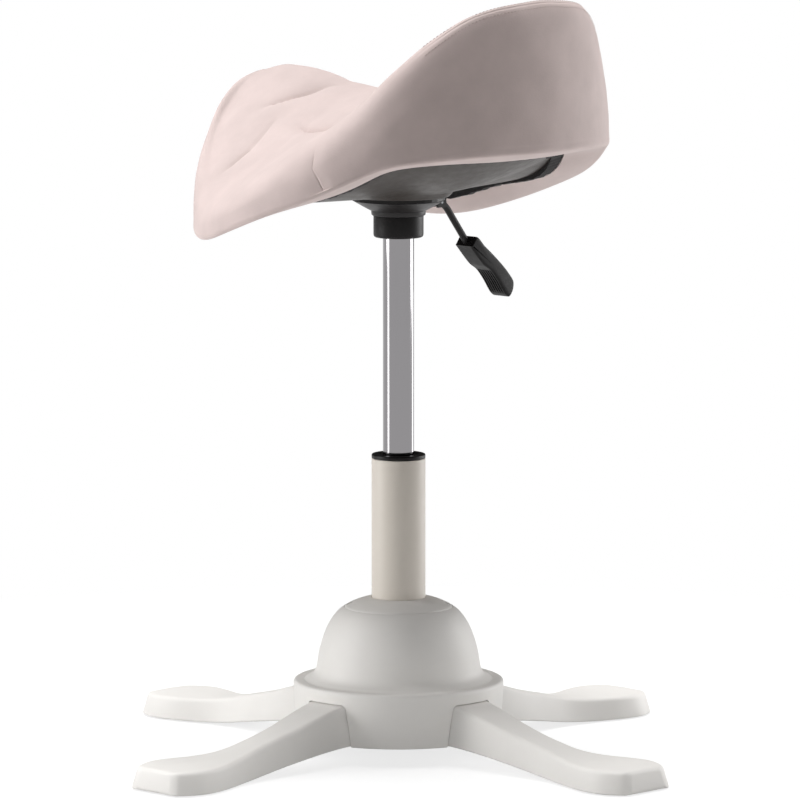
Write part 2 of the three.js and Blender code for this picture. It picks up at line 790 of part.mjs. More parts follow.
function leverHandle() {
  const { neck } = leverLine();
  const corners = handleShares.map(([u, v]) => new THREE.Vector2(u * handleLength, v * handleDepth));
  const outline = new THREE.Shape(corners);
  const core = handleWidth - 2 * handleBevel;
  const grip = new THREE.ExtrudeGeometry(outline, {
    depth: core, bevelThickness: handleBevel, bevelSize: handleBevel, bevelOffset: -handleBevel,
    bevelSegments: 1,
  }).translate(0, 0, -core / 2);
  const bore = disc(leverRadius + 2 * gap, -overrun, leverInHandle + gap, boltSides).rotateY(Math.PI / 2);
  const [from, to] = [handleShares[2], handleShares[4]].map(([u, v]) => [u * handleLength, v * handleDepth]);
  const slope = Math.atan2(to[1] - from[1], to[0] - from[0]);
  const reach = Math.hypot(to[0] - from[0], to[1] - from[1]) / 2;
  const grooves = Array.from({ length: ribCount }, (_, i) => {
    const across = (i - (ribCount - 1) / 2) * ribPitch;
    return block([-reach, -ribDepth, across - ribGroove / 2], [reach, ribDepth, across + ribGroove / 2])
      .rotateZ(slope).translate((from[0] + to[0]) / 2, (from[1] + to[1]) / 2, 0);
  });
  const place = new THREE.Matrix4().makeBasis(
    new THREE.Vector3(-Math.cos(handleDroop), 0, -Math.sin(handleDroop)),
    new THREE.Vector3(-Math.sin(handleDroop), 0, Math.cos(handleDroop)),
    new THREE.Vector3(0, 1, 0),
  ).setPosition(-neck[0], 0, neck[1]);
  return cut(grip, [bore, ...grooves]).applyMatrix4(place);
}

// Seat

function halfTurn(k) {
  return Math.min(k, seatSides - k) * (360 / seatSides);
}

// Point at a radius and height in the k-th direction, counted from the seat's rear.
function seatPoint(k, radius, height) {
  const turn = (k * 2 * Math.PI) / seatSides;
  return [radius * Math.sin(turn), radius * Math.cos(turn), height];
}

function seatRing(place) {
  return Array.from({ length: seatSides }, (_, k) => seatPoint(k, ...place(k)));
}

function crestRadiusAt(k) {
  return seatRadius * smooth(crestOutShares, halfTurn(k));
}

// From the crest out to the widest line.
function crestInset(k) {
  return seatRadius * smooth(outlineShares, halfTurn(k)) - crestRadiusAt(k);
}

function crestHeight(degrees) {
  return seatFloor + cantleRise * smooth(crestShares, degrees);
}

// Height of the top before the creases are sewn in: the middle line's height, bent to the crest at the sides.
function topHeight(x, y, edge) {
  const along = Math.min(Math.max(y / edge, -1), 1);
  const spine = seatFloor + cantleRise * smooth(spineShares, along);
  const halfChord = Math.sqrt(Math.max(1 - along ** 2, 0)) * edge;
  const side = crestHeight(THREE.MathUtils.radToDeg(Math.acos(along)));
  const out = halfChord > gap ? Math.min(Math.abs(x) / halfChord, 1) : 1;
  return spine + (side - spine) * out ** smooth(ridgePowers, along);
}

// How deep a crease is at a place, from its nearest point on one straight stretch of it.
function creaseBetween([outA, backA, depthA], [outB, backB, depthB], out, back) {
  const along = (out - outA) * (outB - outA) + (back - backA) * (backB - backA);
  const t = THREE.MathUtils.clamp(along / ((outB - outA) ** 2 + (backB - backA) ** 2), 0, 1);
  const away = seatRadius * Math.hypot(out - outA - t * (outB - outA), back - backA - t * (backB - backA));
  return (depthA + t * (depthB - depthA)) * Math.exp(-((away / creaseHalfWidth) ** 2));
}

// Depth of the sewn creases, and of the shallow hollow along the top panel's border.
function creaseAt(x, y) {
  const [out, back] = [Math.abs(x) / seatRadius, y / seatRadius];
  const depths = creaseShares.map((line) => Math.max(
    ...line.slice(1).map((end, i) => creaseBetween(line[i], end, out, back)),
  ));
  const border = Math.exp(-(((Math.hypot(x, y) - panelRadius) / creaseHalfWidth) ** 2));
  return Math.max(creaseDepth * Math.max(...depths), borderDepth * border);
}

function rimHeight(k) {
  return cantleRise * smooth(rimShares, halfTurn(k));
}

// Radii at which the shell, the board and the cushion's underside change slope together
const shellRings = [bossRadius, bossRadius + bossEdge, ...saddleShares.map((share) => share * shellRadius)];

// Height of the shell's lower face: flat over the mount, then bowed like a saddle, straight between the rings.
function shellHeight(k, radius) {
  const bow = (r) => (r > bossRadius ? rimHeight(k) * (r / shellRadius) ** 2 : 0);
  if (radius <= bossRadius) return seatFloor;
  const outer = shellRings.findIndex((r) => r >= radius);
  const [near, far] = [shellRings[outer - 1], shellRings[outer]];
  return seatFloor + bow(near) + (bow(far) - bow(near)) * ((radius - near) / (far - near));
}

// A sheet that follows the shell's lower face, between two heights above it.
function saddleSheet(radius, low, high) {
  const radii = [...shellRings.slice(0, -1), radius];
  const under = radii.map((r) => seatRing((k) => [r, shellHeight(k, r) + low]));
  const over = radii.map((r) => seatRing((k) => [r, shellHeight(k, r) + high])).reverse();
  return lofted([...under, ...over]);
}

function underCover() {
  const bores = boltBores(seatBoltShank + gap, seatFloor - overrun, seatFloor + shellThickness + overrun);
  return cut(saddleSheet(shellRadius, 0, shellThickness), bores);
}

const boardFloor = shellThickness + gap;
const boardTop = boardFloor + boardThickness;

function seatBoard() {
  const sheet = saddleSheet(shellRadius - boardInset, boardFloor, boardTop);
  const barrels = boltBores(nutBarrel + gap, seatFloor, seatFloor + boardTop + overrun);
  const top = seatFloor + boardTop;
  const sinks = boltBores(nutFlange + gap, top - nutFlangeThickness - gap, top + overrun);
  return cut(sheet, [...barrels, ...sinks]);
}

function edgeStrip() {
  const inner = shellRadius + gap;
  const outer = inner + stripWidth;
  const low = (k) => shellHeight(k, shellRadius) - stripDrop;
  const high = (k) => shellHeight(k, shellRadius) + boardTop;
  return lofted([
    seatRing((k) => [inner, low(k)]), seatRing((k) => [outer, low(k)]),
    seatRing((k) => [outer, high(k)]), seatRing((k) => [inner, high(k)]),
  ], true);
}

function seatNut(turn) {
  const top = seatFloor + boardTop;
  const flangeFloor = top - nutFlangeThickness;
  const floor = seatFloor + boardFloor + gap;
  const inner = seatBoltShank + gap;
  const profile = [
    [inner, floor], [nutBarrel, floor], [nutBarrel, flangeFloor], [nutFlange, flangeFloor],
    [nutFlange, top], [inner, top],
  ];
  return turned(profile, boltSides).translate(seatBoltCircle, 0, 0).rotateZ(turn);
}

function seatBolt(turn) {
  const headTop = mountFloor - gap;
  const head = disc(seatBoltHead, headTop - seatBoltHeadHeight, headTop, 6);
  const shank = disc(seatBoltShank, headTop - gap, seatFloor + boardTop - nutFlangeThickness, boltSides);
  return join(head, [shank]).translate(seatBoltCircle, 0, 0).rotateZ(turn);
}

function seatCushion() {
  const edge = (k) => crestRadiusAt(k) - seatRoll;
  const hem = (k) => seatFloor + cantleRise * smooth(hemShares, halfTurn(k));
  const sewn = (k, radius) => {
    const [x, y] = seatPoint(k, radius, 0);
    return topHeight(x, y, crestRadiusAt(k)) - creaseAt(x, y);
  };
  // A curve from the top over the crest, which it reaches half way, to the wall
  const roll = (share) => seatRing((k) => {
    const start = [edge(k), sewn(k, edge(k))];
    const crest = [crestRadiusAt(k), crestHeight(halfTurn(k))];
    const wall = [crestRadiusAt(k) + crestInset(k) * wallLeanShare, crest[1] - wallRoll];
    return start.map((v, i) => {
      const pull = 2 * crest[i] - (v + wall[i]) / 2;
      return (1 - share) ** 2 * v + 2 * share * (1 - share) * pull + share ** 2 * wall[i];
    });
  });
  const wall = (share, outShare) => seatRing((k) => {
    const top = crestHeight(halfTurn(k)) - wallRoll;
    const bottom = hem(k) + hemRoll;
    const radius = crestRadiusAt(k) + crestInset(k) * outShare;
    return [radius, top + (bottom - top) * share];
  });
  const soft = hemRoll * (1 - Math.SQRT1_2);
  const pocketRadius = shellRadius + stripWidth + 3 * gap;
  const shellAt = (k, radius) => shellHeight(k, Math.min(radius, shellRadius));
  const underside = (radius) => seatRing((k) => [radius, shellAt(k, radius) + boardTop + gap]);
  const top = Array.from({ length: seatTopRings }, (_, i) => {
    const share = (i + 1) / seatTopRings;
    return seatRing((k) => [edge(k) * share, sewn(k, edge(k) * share)]);
  });
  return lofted([
    ...top,
    ...rollShares.map(roll),
    ...wallShares.map(([down, out]) => wall(down, out)),
    seatRing((k) => [crestRadiusAt(k) + crestInset(k) - soft, hem(k) + soft]),
    seatRing((k) => [crestRadiusAt(k) + crestInset(k) - hemRoll, hem(k)]),
    seatRing((k) => [pocketRadius, shellHeight(k, shellRadius) - stripDrop]),
    underside(pocketRadius), ...[...shellRings].reverse().map(underside),
  ]);
}

// Assembly

const legNames = ['left', 'rear', 'right', 'front'];

add('base_cover', baseCover(), finishes.baseCoat);
add('dome_cap', domeCap(), finishes.baseCoat);
capScrewTurns().forEach((turn, i) => add(`cap_screw_${i + 1}`, capScrew(turn), finishes.darkPlastic));
add('socket_plate', socketPlate(), finishes.steel);
add('floor_cover', floorCover(), finishes.blackPlastic);
legTurns().forEach((turn, i) => {
  add(`leg_${legNames[i]}`, leg().rotateZ(turn), finishes.baseCoat);
  add(`foot_pad_${legNames[i]}`, footPad().rotateZ(turn), finishes.rubber);
  boltPlaces.forEach((x, n) => add(`leg_bolt_${legNames[i]}_${n + 1}`, legBolt(x, turn), finishes.steel));
});

add('stand_tube', standTube(), finishes.tubeCoat);
add('guide_bush', guideBush(), finishes.blackPlastic);
add('lower_washer', washer(lowerWasherFloor), finishes.steel);
add('ball_cage', ballCage(), finishes.steel);
add('upper_washer', washer(upperWasherFloor), finishes.steel);
add('piston_rod', pistonRod(), finishes.steel);
add('retaining_clip', retainingClip(), finishes.steel);
add('bump_stop', bumpStop(), finishes.rubber);
add('piston', piston(), finishes.blackPlastic);

add('gas_cylinder', gasCylinder(), finishes.chrome);
add('cylinder_seal', cylinderSeal(), finishes.rubber);
add('valve_pin', valvePin(), finishes.steel);
add('column_collar', columnCollar(), finishes.blackPlastic);
add('mechanism_bowl', mechanismBowl(), finishes.darkPlastic);
add('mount_plate', mountPlate(), finishes.darkPlastic);
add('lever_bracket', leverBracket(), finishes.darkPlastic);
add('lever_pivot_pin', pivotPin(), finishes.steel);
add('lever_rod', leverRod(), finishes.darkPlastic);
add('lever_handle', leverHandle(), finishes.blackPlastic);

add('under_cover', underCover(), finishes.shellPlastic);
add('seat_board', seatBoard(), finishes.wood);
add('edge_strip', edgeStrip(), finishes.blackPlastic);
seatBoltTurns().forEach((turn, i) => {
  add(`seat_bolt_${i + 1}`, seatBolt(turn), finishes.steel);
  add(`seat_nut_${i + 1}`, seatNut(turn), finishes.steel);
});
add('seat_cushion', seatCushion(), finishes.fabric);

export default stool;
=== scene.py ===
import json
import math

import bpy
import numpy as np
from bpy.props import FloatProperty, FloatVectorProperty, IntProperty, PointerProperty
from bpy.types import Operator, Panel, PropertyGroup
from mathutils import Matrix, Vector


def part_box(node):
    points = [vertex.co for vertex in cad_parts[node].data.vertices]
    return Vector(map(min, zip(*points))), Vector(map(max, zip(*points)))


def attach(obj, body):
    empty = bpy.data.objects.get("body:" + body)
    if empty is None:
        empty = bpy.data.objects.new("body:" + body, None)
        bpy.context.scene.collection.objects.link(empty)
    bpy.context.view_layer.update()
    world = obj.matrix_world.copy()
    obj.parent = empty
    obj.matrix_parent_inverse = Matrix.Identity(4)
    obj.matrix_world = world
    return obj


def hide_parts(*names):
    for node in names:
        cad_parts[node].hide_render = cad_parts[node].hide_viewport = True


bl_info = {
    "name": "Saddle stool",
    "version": (1, 0, 0),
    "blender": (4, 5, 0),
    "location": "View3D > Sidebar > Stool",
    "description": "Builds the pieces, finishes and stage of a saddle stool round its frame",
    "category": "Object",
}

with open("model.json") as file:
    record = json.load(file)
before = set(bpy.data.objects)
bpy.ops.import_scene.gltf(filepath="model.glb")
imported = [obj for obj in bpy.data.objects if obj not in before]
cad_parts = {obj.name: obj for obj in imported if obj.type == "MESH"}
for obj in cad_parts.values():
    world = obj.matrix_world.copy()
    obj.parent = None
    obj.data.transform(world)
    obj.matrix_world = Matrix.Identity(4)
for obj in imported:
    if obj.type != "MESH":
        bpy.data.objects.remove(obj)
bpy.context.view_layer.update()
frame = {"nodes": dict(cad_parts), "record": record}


def low(node):
    """Lowest corner of a node of the frame."""
    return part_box(node)[0]


def high(node):
    """Highest corner of a node of the frame."""
    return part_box(node)[1]


PREFIX = "stool_"  # in front of a finish's name, because the frame brings materials of its own
GAP = 0.0003  # between pieces that rest on each other
SHARP = 40  # degrees past which an edge is shaded sharp
SAME_PLACE = 1e-6  # places closer than this are one
ARC_STEPS = 7  # rows of a quarter round
SMALL_SIDES = 64  # of the screws, pads and their pockets

# Places that the frame gives
SEAT_FLOOR = high("mount_plate").z + GAP
SEAT_RADIUS = high("seat_cushion").y
CANTLE_RISE = high("seat_cushion").z - SEAT_FLOOR
SHELL_RADIUS = high("under_cover").y
STRIP_RADIUS = high("edge_strip").y
HUB_FLOOR = low("base_cover").z
HUB_RADIUS = high("base_cover").x
TUBE_RADIUS = high("stand_tube").x
TUBE_TOP = high("stand_tube").z
BUSH_TOP = high("guide_bush").z
CYLINDER_RADIUS = high("gas_cylinder").x
CYLINDER_TOP = high("gas_cylinder").z
COLLAR_RADIUS = high("column_collar").x
BOWL_RADIUS = high("mechanism_bowl").x
BOWL_FLOOR = low("mechanism_bowl").z
BOWL_TOP = high("mechanism_bowl").z
CAP_TOP = high("dome_cap").z
CAP_RADIUS = high("dome_cap").x
LEG_REACH = high("leg_left").x

# Outlines of the seat, each row an angle from the seat's rear, in degrees, and a share. Both sides are alike.
OUTLINE = [[0, 1], [60, 1], [100, 0.985], [140, 0.975], [180, 0.975]]
CREST_OUT = [
    [0, 0.93], [20, 0.93], [35, 0.908], [50, 0.88], [65, 0.872], [80, 0.885], [100, 0.915], [120, 0.94],
    [145, 0.957], [180, 0.953],
]
CREST = [
    [0, 1.004], [20, 0.966], [30, 0.893], [40, 0.779], [50, 0.632], [60, 0.475], [80, 0.262], [100, 0.077],
    [120, -0.01], [135, 0.065], [150, 0.24], [165, 0.46], [180, 0.548],
]
HEM = [
    [0, 0.275], [20, 0.273], [40, 0.25], [50, 0.222], [60, 0.145], [70, 0.07], [80, 0.01], [100, -0.109],
    [115, -0.178], [128, -0.183], [142, -0.115], [160, 0.02], [180, 0.15],
]
RIM = [
    [0, 0.24], [45, 0.222], [60, 0.145], [70, 0.09], [85, 0.03], [100, 0], [121, -0.016], [134, -0.025],
    [153, -0.012], [180, 0.062],
]
# Height of the top along the middle line, from the front edge at -1 to the rear crest at 1
SPINE = [
    [-1, 0.548], [-0.8, 0.592], [-0.65, 0.592], [-0.54, 0.581], [-0.43, 0.556], [-0.33, 0.536], [-0.2, 0.519],
    [0, 0.51], [0.1, 0.505], [0.32, 0.512], [0.54, 0.606], [0.75, 0.774], [0.91, 0.927], [1, 1],
]
# Power to which the top bends up from its middle line, by the place along that line
RIDGE = [[-0.2, 1.4], [0.4, 2]]
# Creases sewn into each flank, each a row of places: out from the middle line, towards the rear, share of depth
CREASES = [
    [[0.066, -0.123, 0], [0.057, -0.1095, 0.7], [0.0474, -0.097, 1], [0.0368, -0.084, 1], [0.0281, -0.078, 0.9],
     [0.0186, -0.0732, 0.6], [0.0111, -0.0651, 0.3], [0.004, -0.053, 0]],
    [[0.131, -0.108, 0], [0.124, -0.1005, 0.5], [0.116, -0.094, 0.7], [0.108, -0.0875, 0.7],
     [0.0963, -0.086, 0.7], [0.0816, -0.0859, 0.5], [0.07, -0.087, 0]],
    [[0.078, -0.056, 0], [0.087, -0.0384, 1], [0.0935, -0.0151, 1.4], [0.0976, 0.0058, 1.4],
     [0.0995, 0.02, 0.8], [0.099, 0.036, 0]],
]
# How much deeper than at the rear the edge strip hangs, by degrees from the rear, in metres. Where it hangs
# deep, the black strip is painted shade that fills the shadowed gap under the shell's edge
SHADE_HANG = [
    [0, 0], [50, 0], [60, 0.003], [70, 0.003], [80, 0.001], [92, 0], [100, 0.003], [110, 0.0105], [120, 0.0135],
    [130, 0.013], [140, 0.008], [152, 0.002], [165, 0], [180, 0],
]
# Outline of the dome, as shares of its radius and of its rise above the ledge
DOME = [
    [1.12, 0.018], [1.055, 0.052], [1.015, 0.11], [0.996, 0.2], [0.98, 0.3], [0.954, 0.41],
    [0.916, 0.53], [0.868, 0.645], [0.808, 0.745], [0.741, 0.825], [0.68, 0.872],
]
# Outline of the bowl, as shares of its flare and of its height
BOWL = [[0.02, 0.3], [0.14, 0.38], [0.36, 0.53], [0.66, 0.75], [0.88, 0.91], [1, 1]]
# Stations along a leg: share of the run, half width, side draft, top height and underside height
LEG = [
    [0, 0.93, 0.15, 0.955, 1], [0.05, 0.91, 0.17, 0.925, 0.97], [0.15, 0.87, 0.2, 0.825, 0.84],
    [0.28, 0.85, 0.26, 0.68, 0.62], [0.38, 0.82, 0.28, 0.585, 0.42], [0.46, 0.82, 0.27, 0.515, 0.25],
    [0.53, 0.85, 0.25, 0.455, 0.12], [0.6, 0.94, 0.22, 0.41, 0.04], [0.68, 1.11, 0.2, 0.385, 0],
    [0.77, 1.32, 0.18, 0.378, 0], [0.85, 1.41, 0.17, 0.378, 0], [0.905, 1.36, 0.16, 0.375, 0],
    [0.955, 1.19, 0.15, 0.371, 0], [0.985, 1.01, 0.13, 0.365, 0], [1, 0.82, 0.12, 0.358, 0],
]
# Side outline of the lever's handle, as shares of its length and of its depth
HANDLE = [
    [0, -0.62], [0.36, -0.7], [0.52, -0.46], [0.7, -0.56], [0.91, -0.84], [1, -0.72],
    [1.01, -0.3], [0.985, 0.35], [0.92, 0.9], [0.78, 1.06], [0.62, 1.07], [0.4, 0.96], [0.2, 0.8], [0, 0.68],
]

# Seat, in metres and in degrees from the rear
ANGLES = np.arange(-180, 180, 0.25)  # where its outlines are worked out
SOFTENING = 3.5  # over which their corners are rounded
ROLL_SEAM = 0.62  # share of the crest's roll at which the top panel is sewn to the wall
ROLL_RUN = 0.03  # length of that roll along the skin
ROLL_LIMIT = 2.6  # most of the roll, in distances from the crest out to the widest line
ROLL_BLEND = 4  # how sharply the roll's own size and that limit meet
FLANK_SOFTNESS = 1.5  # how much wider the crest's roll is along the flanks
FLANK_START, FLANK_END = (20, 58), (110, 150)  # where it widens and where it narrows again
SEAM_FADES, SEAM_RETURNS = (30, 50), (125, 145)  # where the crest's seam is lost and comes back
FRONT_SEAM = 0.5  # its depth in front, as a share of that at the rear
SWELL_DEPTH, SWELL_WIDTH = 0.0004, 0.006  # hollow along the crest's seam
WELT_RISE, WELT_WIDTH = 0.007, 0.0016  # place of the welt above the hem
SIDE_SEAM = 71  # where the side seam leaves the crest
SIDE_SEAM_SWEEP = 5  # how far it has run back at the hem
SIDE_SEAM_REACH = 16  # how far off it the skin's columns still run along with it
SWEEP_ON_ROLL = 0.25  # share of the sweep that is done by the end of the roll
SIDE_SEAM_DEEPER = 1.2  # its depth, in depths of a plain seam
SIDE_SEAM_WIDTH = 0.0009
SIDE_PULL_DEPTH, SIDE_PULL_WIDTH = 0.0013, 0.007  # hollow along it
CROWDING, CROWDING_REACH = 6, 1.2  # how much closer the skin's columns are beside it, and how far
COLUMNS, FINE_TURNS = 620, 20001  # columns of the skin, and the places between which they are spread
TOP_ROWS, ROLL_ROWS, WALL_ROWS, HEM_ROWS = 92, 15, 28, 14  # rows of the skin
SEAM_ROWS, SEAM_BAND = 11, 0.09  # those beside the crest's seam, and the share of the roll that they span
HEM_BAND = 0.88  # share of the wall at which the closer rows begin
MARGIN_STEPS = 9  # rows of the cover under the seat
CREASE_BOTTOM = 0.02  # share of a crease's width over which its bottom is round
CREASE_STEPS = 6  # straight pieces of a crease from knot to knot
BORDER_WIDTH = 0.009  # of the hollow along the top panel's border
BORDER_AHEAD, BORDER_ASIDE = (0.05, 0.13), (0.03, 0.07)  # where it grows, towards the front and the sides
# Unevenness of the padding: rows of a share and two waves, each with its pace along x, y and z and its start
UNEVENNESS = 0.00028
WAVES = [
    [1, (61, 0, 0, 1.3), (0, 53, 0, 0.4)],
    [1, (97, -71, 0, 2.1), (0, 0, 83, 0.7)],
    [0.6, (173, 0, 121, 0), (0, 149, -97, 1.1)],
]
MARGIN_SAG = 0.0012  # of the cover between the hem and the strip
FACE_SHARES = [1, 0.85, 0.7, 0.55, 0.4, 0.3, 0.27, 0.15]  # rows of the face on the board, in its radius
STITCH_OFFSET = 0.13  # from the seam to a row of stitches, as a share of the roll
STITCH_LIMIT = 0.6  # least depth of the seam that still shows stitches
STITCH_RINGS, STITCH_SIDES, SEAM_POINTS = 5, 6, 4001
STITCH_TAPER = 1.05  # less the square of the place along a stitch, of which its thickness is the root
STITCH_LIFT, STITCH_DIP = 0.9, 1.1  # rise of its middle and fall to its ends, in thread radii
NUDGE_TURN, NUDGE_ROLL = 0.05, 1e-3  # small steps that give the skin's directions
OUTWARD_RISE = 0.6  # of a direction that points out of the seat, for each unit outwards
BOSS_EDGE = 0.006  # over which the shell's bow begins
# Rows of the shell as shares of its radius, closer together at the edge of its boss
SHELL_SHARES = np.concatenate([[0.05, 0.15, 0.25], np.linspace(0.275, 0.32, 8), np.linspace(0.34, 1, 26)])
SHELL_SIDES, STRIP_SIDES = 288, 576
STRIP_ROUNDS = [0.0003, 0.0006, 0.0008, 0.0004, 0, 0]  # of its corners, from its lap outwards and up
STRIP_WAVES = [(0.0004, 61, 0), (0.0003, 143, 2)]  # depth, waves round the seat, and their drift in radians
STRIP_DRIFTS = 9  # how often round the seat they drift to and fro
# The strip is trimmed unevenly: share of its lap by degrees from the rear, towards the seat's left
TRIM_TURNS, TRIM_LAPS = [-180, -28, -18, 47, 55, 70, 90, 180], [1, 1, 0.35, 0.35, 0.6, 0.6, 1, 1]

# Base, in metres and radians
LEG_NAMES = ["left", "rear", "right", "front"]
QUARTERS = [0, math.pi / 2, math.pi, 3 * math.pi / 2]
SCREW_TURNS = [3 * math.pi / 4, 7 * math.pi / 4]
HUB_FOOT_ROUND = 0.0012
DOME_ROWS, CAP_ROWS, HOLE_SIDES = 46, 14, 48
LEDGE_IN, LEDGE_IN_ROUND, LEDGE_RISE = 0.004, 0.002, 0.001  # the ledge's inner end, beside the dome
CAP_PROUD, CAP_RIM_DEPTH = 0.0006, 0.005  # the hub's lip below the cap's edge, and how deep it reaches
CAP_SEAT_BORE, CAP_SEAT_TOP, CAP_SEAT_FLOOR = 0.0335, 0.0078, 0.0115  # hub's rim under the cap, below its top
CAP_BEVEL, CAP_LAND, CAP_EDGE = 0.0006, 0.0005, 0.0001  # small steps that round the cap's edges
SLOT_SHARES = [-0.16, 0.0, 0.05, 0.1, 0.2]  # of a leg's run, where the hub is cut for it
SLOT_FOOT = 0.004  # how far a slot is open past the hub's lower edge
SCREW_SINK, HOLE_SINK = 0.0016, 0.0033  # a screw's head and its recess below the cap
SCREW_CROWN, CROSS_DEPTH = 0.0004, 0.0009
CROSS_WIDE, CROSS_LONG = (0.1, 0.2), (0.45, 0.6)  # half its width and half its length, in the head's radius
SCREW_RINGS = [0.1, 0.2, 0.3, 0.4, 0.5, 0.6, 0.7, 0.8, 0.9, 0.97, 1]
SCREW_SHANK = [[1, -0.003], [0.54, -0.0031], [0.54, -0.0118]]  # radius in the head's, and height
LEG_CROWN, LEG_CROWN_ROUND, LEG_SEAM_ROUND = 0.0006, 0.004, 0.0002
TONGUE_HALF, TONGUE_FLOOR, TONGUE_TOP, TONGUE_ROUND, TONGUE_END = 0.018, 0.0379, 0.0579, 0.002, 0.042
TIP_SHARE = 0.015  # of a leg's run, over which its end rounds in
LEG_STATIONS = np.concatenate([np.linspace(0, 0.94, 60), np.linspace(0.95, 1 - TIP_SHARE, 6)])
POCKET_OPEN, POCKET_DEPTH, PAD_HEIGHT, PAD_ROUND = 0.001, 0.0038, 0.0035, 0.0012

# Column, mechanism and lever
TUBE_HOLE, TUBE_LIP = 0.006, 0.003  # opening and thickness of the stand tube's floor
FINE_ROUND, SOFT_ROUND = 0.0003, 0.0004
BUSH_ROUND, BUSH_RING, BUSH_LIP, BUSH_RING_ROUND, BUSH_SINK = 0.0012, 0.004, 0.003, 0.001, 0.0012
NECK_DROP, NECK_RADIUS, NECK_BEND = 0.02, 0.0136, 0.001  # taper of the gas cylinder's upper end
PIN_HOLE, CROWN_WALL = 0.0029, 0.006  # the valve pin's hole, and the wall that it goes through
BOWL_HOLE, BOWL_BEVEL, BOWL_ROWS = 0.0142, 0.0006, 30
LEVER_HEIGHT = CYLINDER_TOP + 0.0075
LEVER_TAIL = -0.0035  # the rod's inner end, as a distance out from the column
SLOT_SIDE, SLOT_DROP, SLOT_ROUND = 0.001, 0.0034, 0.001  # room beside the rod and below it, in the bowl
SLOT_ROWS = (-0.0136, -0.03)
STEM_DROOP, HANDLE_DROOP = math.radians(52), math.radians(44)
BEND_ROUND, NECK_ROUND = 0.011, 0.006
ROD_SIDES, BEND_STEPS = 32, 14
HANDLE_POINTS, HANDLE_ROWS = 180, 40  # round its side outline, and across half its width
RIBS = 3  # to each side of the handle's middle
RIBS_START, RIBS_END = (0.5, 0.54), (0.88, 0.92)  # shares of the handle's length
RIB_EDGE = 0.25  # how soft the edges of its grooves are

# Finishes: grain is the relief's scale, height its depth and spread the broad change of colour
COATS = {
    "base_coat": dict(roughness=0.55, grain=1400, height=0.00002, spread=0.012),
    "tube_coat": dict(roughness=0.45, grain=1400, height=0.000015, spread=0.012),
    "chrome": dict(roughness=0.09, grain=500, height=0.000002, spread=0.01, metallic=1.0, stretch=(1, 1, 0.2)),
    "steel": dict(roughness=0.34, grain=900, height=0.00001, spread=0.05, metallic=1.0, stretch=(1, 1, 6)),
    "black_plastic": dict(roughness=0.42, grain=1500, height=0.00005, spread=0.08, shine=0.2),
    "dark_plastic": dict(roughness=0.4, grain=1300, height=0.00004, spread=0.05, shine=0.3),
    "dark_metal": dict(roughness=0.45, grain=1100, height=0.00003, spread=0.05, shine=0.25),
    "shell_plastic": dict(roughness=0.45, grain=1200, height=0.00005, spread=0.04, shine=0.25),
    "rubber": dict(roughness=0.75, grain=900, height=0.00006, spread=0.1),
}
GLOSS_SPREAD, LEAST_ROUGHNESS = 0.06, 0.02
GLOSS_COARSER = 12  # how much coarser the gloss's unevenness is than the grain

# Stage. A lamp's place is to the camera's right, towards the camera and up from the middle of the floor.
AZIMUTH, PITCH = math.radians(134.5), math.radians(7.43)
CAMERA_OUT, CAMERA_HEIGHT = 6.85, 1.2225
SENSOR, IMAGE_PIXELS = 36, 800
FOCAL_PIXELS, COLUMN_ASIDE = 7461, 1.5  # in pixels of the photograph
FAR = 200
# Name, place, height of the point it faces, width, height and power
LAMPS = [
    ("key", (-2.4, 0, 1.2), 0.4, 0.8, 2.2, 33.5),
    ("rim", (2.4, -0.9, 0.8), 0.4, 1.0, 1.5, 24),
    ("top", (0, -0.5, 8), 0.4, 5, 5, 620),
    ("low", (0, 1.8, 0.45), 0.04, 0.4, 0.2, 0.19),
    ("left strip", (-1.18, 0.2, 0.3), 0.3, 0.3, 0.6, 2.2),
    ("right strip", (1.0, -0.75, 0.3), 0.3, 0.3, 0.6, 2.2),
]
LOW_SPREAD = math.radians(32)  # of the lamp that lights the feet
FLOOR_RADIUS, FLOOR_THICKNESS, FLOOR_SIDES = 60, 0.02, 64
FLOOR_GLOW = 0.55  # under the object, as the camera sees it
FLOOR_FADE = (0.3, 1.0)  # distances from the column between which the floor turns white
FADE_START = 0.5  # share of white at the first of them
WORLD_LIGHT = 0.06


# Sizes and colours

def length(name, description, default):
    """A length in metres that a user may change."""
    return FloatProperty(name=name, description=description, default=default, unit="LENGTH", subtype="DISTANCE")


def colour(name, description, default):
    """A colour that a user may change, as it looks on a screen."""
    return FloatVectorProperty(
        name=name, description=description, default=default, size=3, min=0, max=1, subtype="COLOR_GAMMA")


class StoolSeatSizes(PropertyGroup):
    """Sizes of the seat's padding and sewing, and of the shell under it."""

    crest_roll: length("Crest roll", "How far in the rounded upper edge begins", 0.016)
    wall_roll: length("Wall roll", "How far down the rounded upper edge ends", 0.023)
    hem_roll: length("Hem roll", "Radius of the lower edge", 0.0045)
    crease_depth: length("Crease depth", "Depth of the sewn creases", 0.0068)
    crease_width: length("Crease width", "From a crease's seam to the crown beside it", 0.019)
    panel_radius: length("Panel radius", "Distance of the top panel's border from the column", 0.1725)
    border_depth: length("Border depth", "Depth of the hollow along that border", 0.001)
    welt_height: length("Welt height", "How far the hem's welt stands out", 0.00035)
    seam_depth: length("Seam depth", "Depth of a plain seam", 0.0005)
    seam_width: length("Seam width", "Half width of a plain seam", 0.0008)
    stitch_length: length("Stitch length", "Length of one stitch", 0.0028)
    stitch_pitch: length("Stitch pitch", "Distance from stitch to stitch", 0.0037)
    thread_radius: length("Thread radius", "Radius of the sewing thread", 0.00026)
    shell_thickness: length("Shell thickness", "Wall of the shell under the seat", 0.003)
    board_thickness: length("Board thickness", "Thickness of the board on the shell", 0.008)
    boss_radius: length("Boss radius", "Flat middle of the shell", 0.046)
    strip_lap: length("Strip lap", "How far the edge strip laps under the shell", 0.009)
    strip_drop: length("Strip drop", "How far the edge strip reaches below the shell at the rear", 0.002)


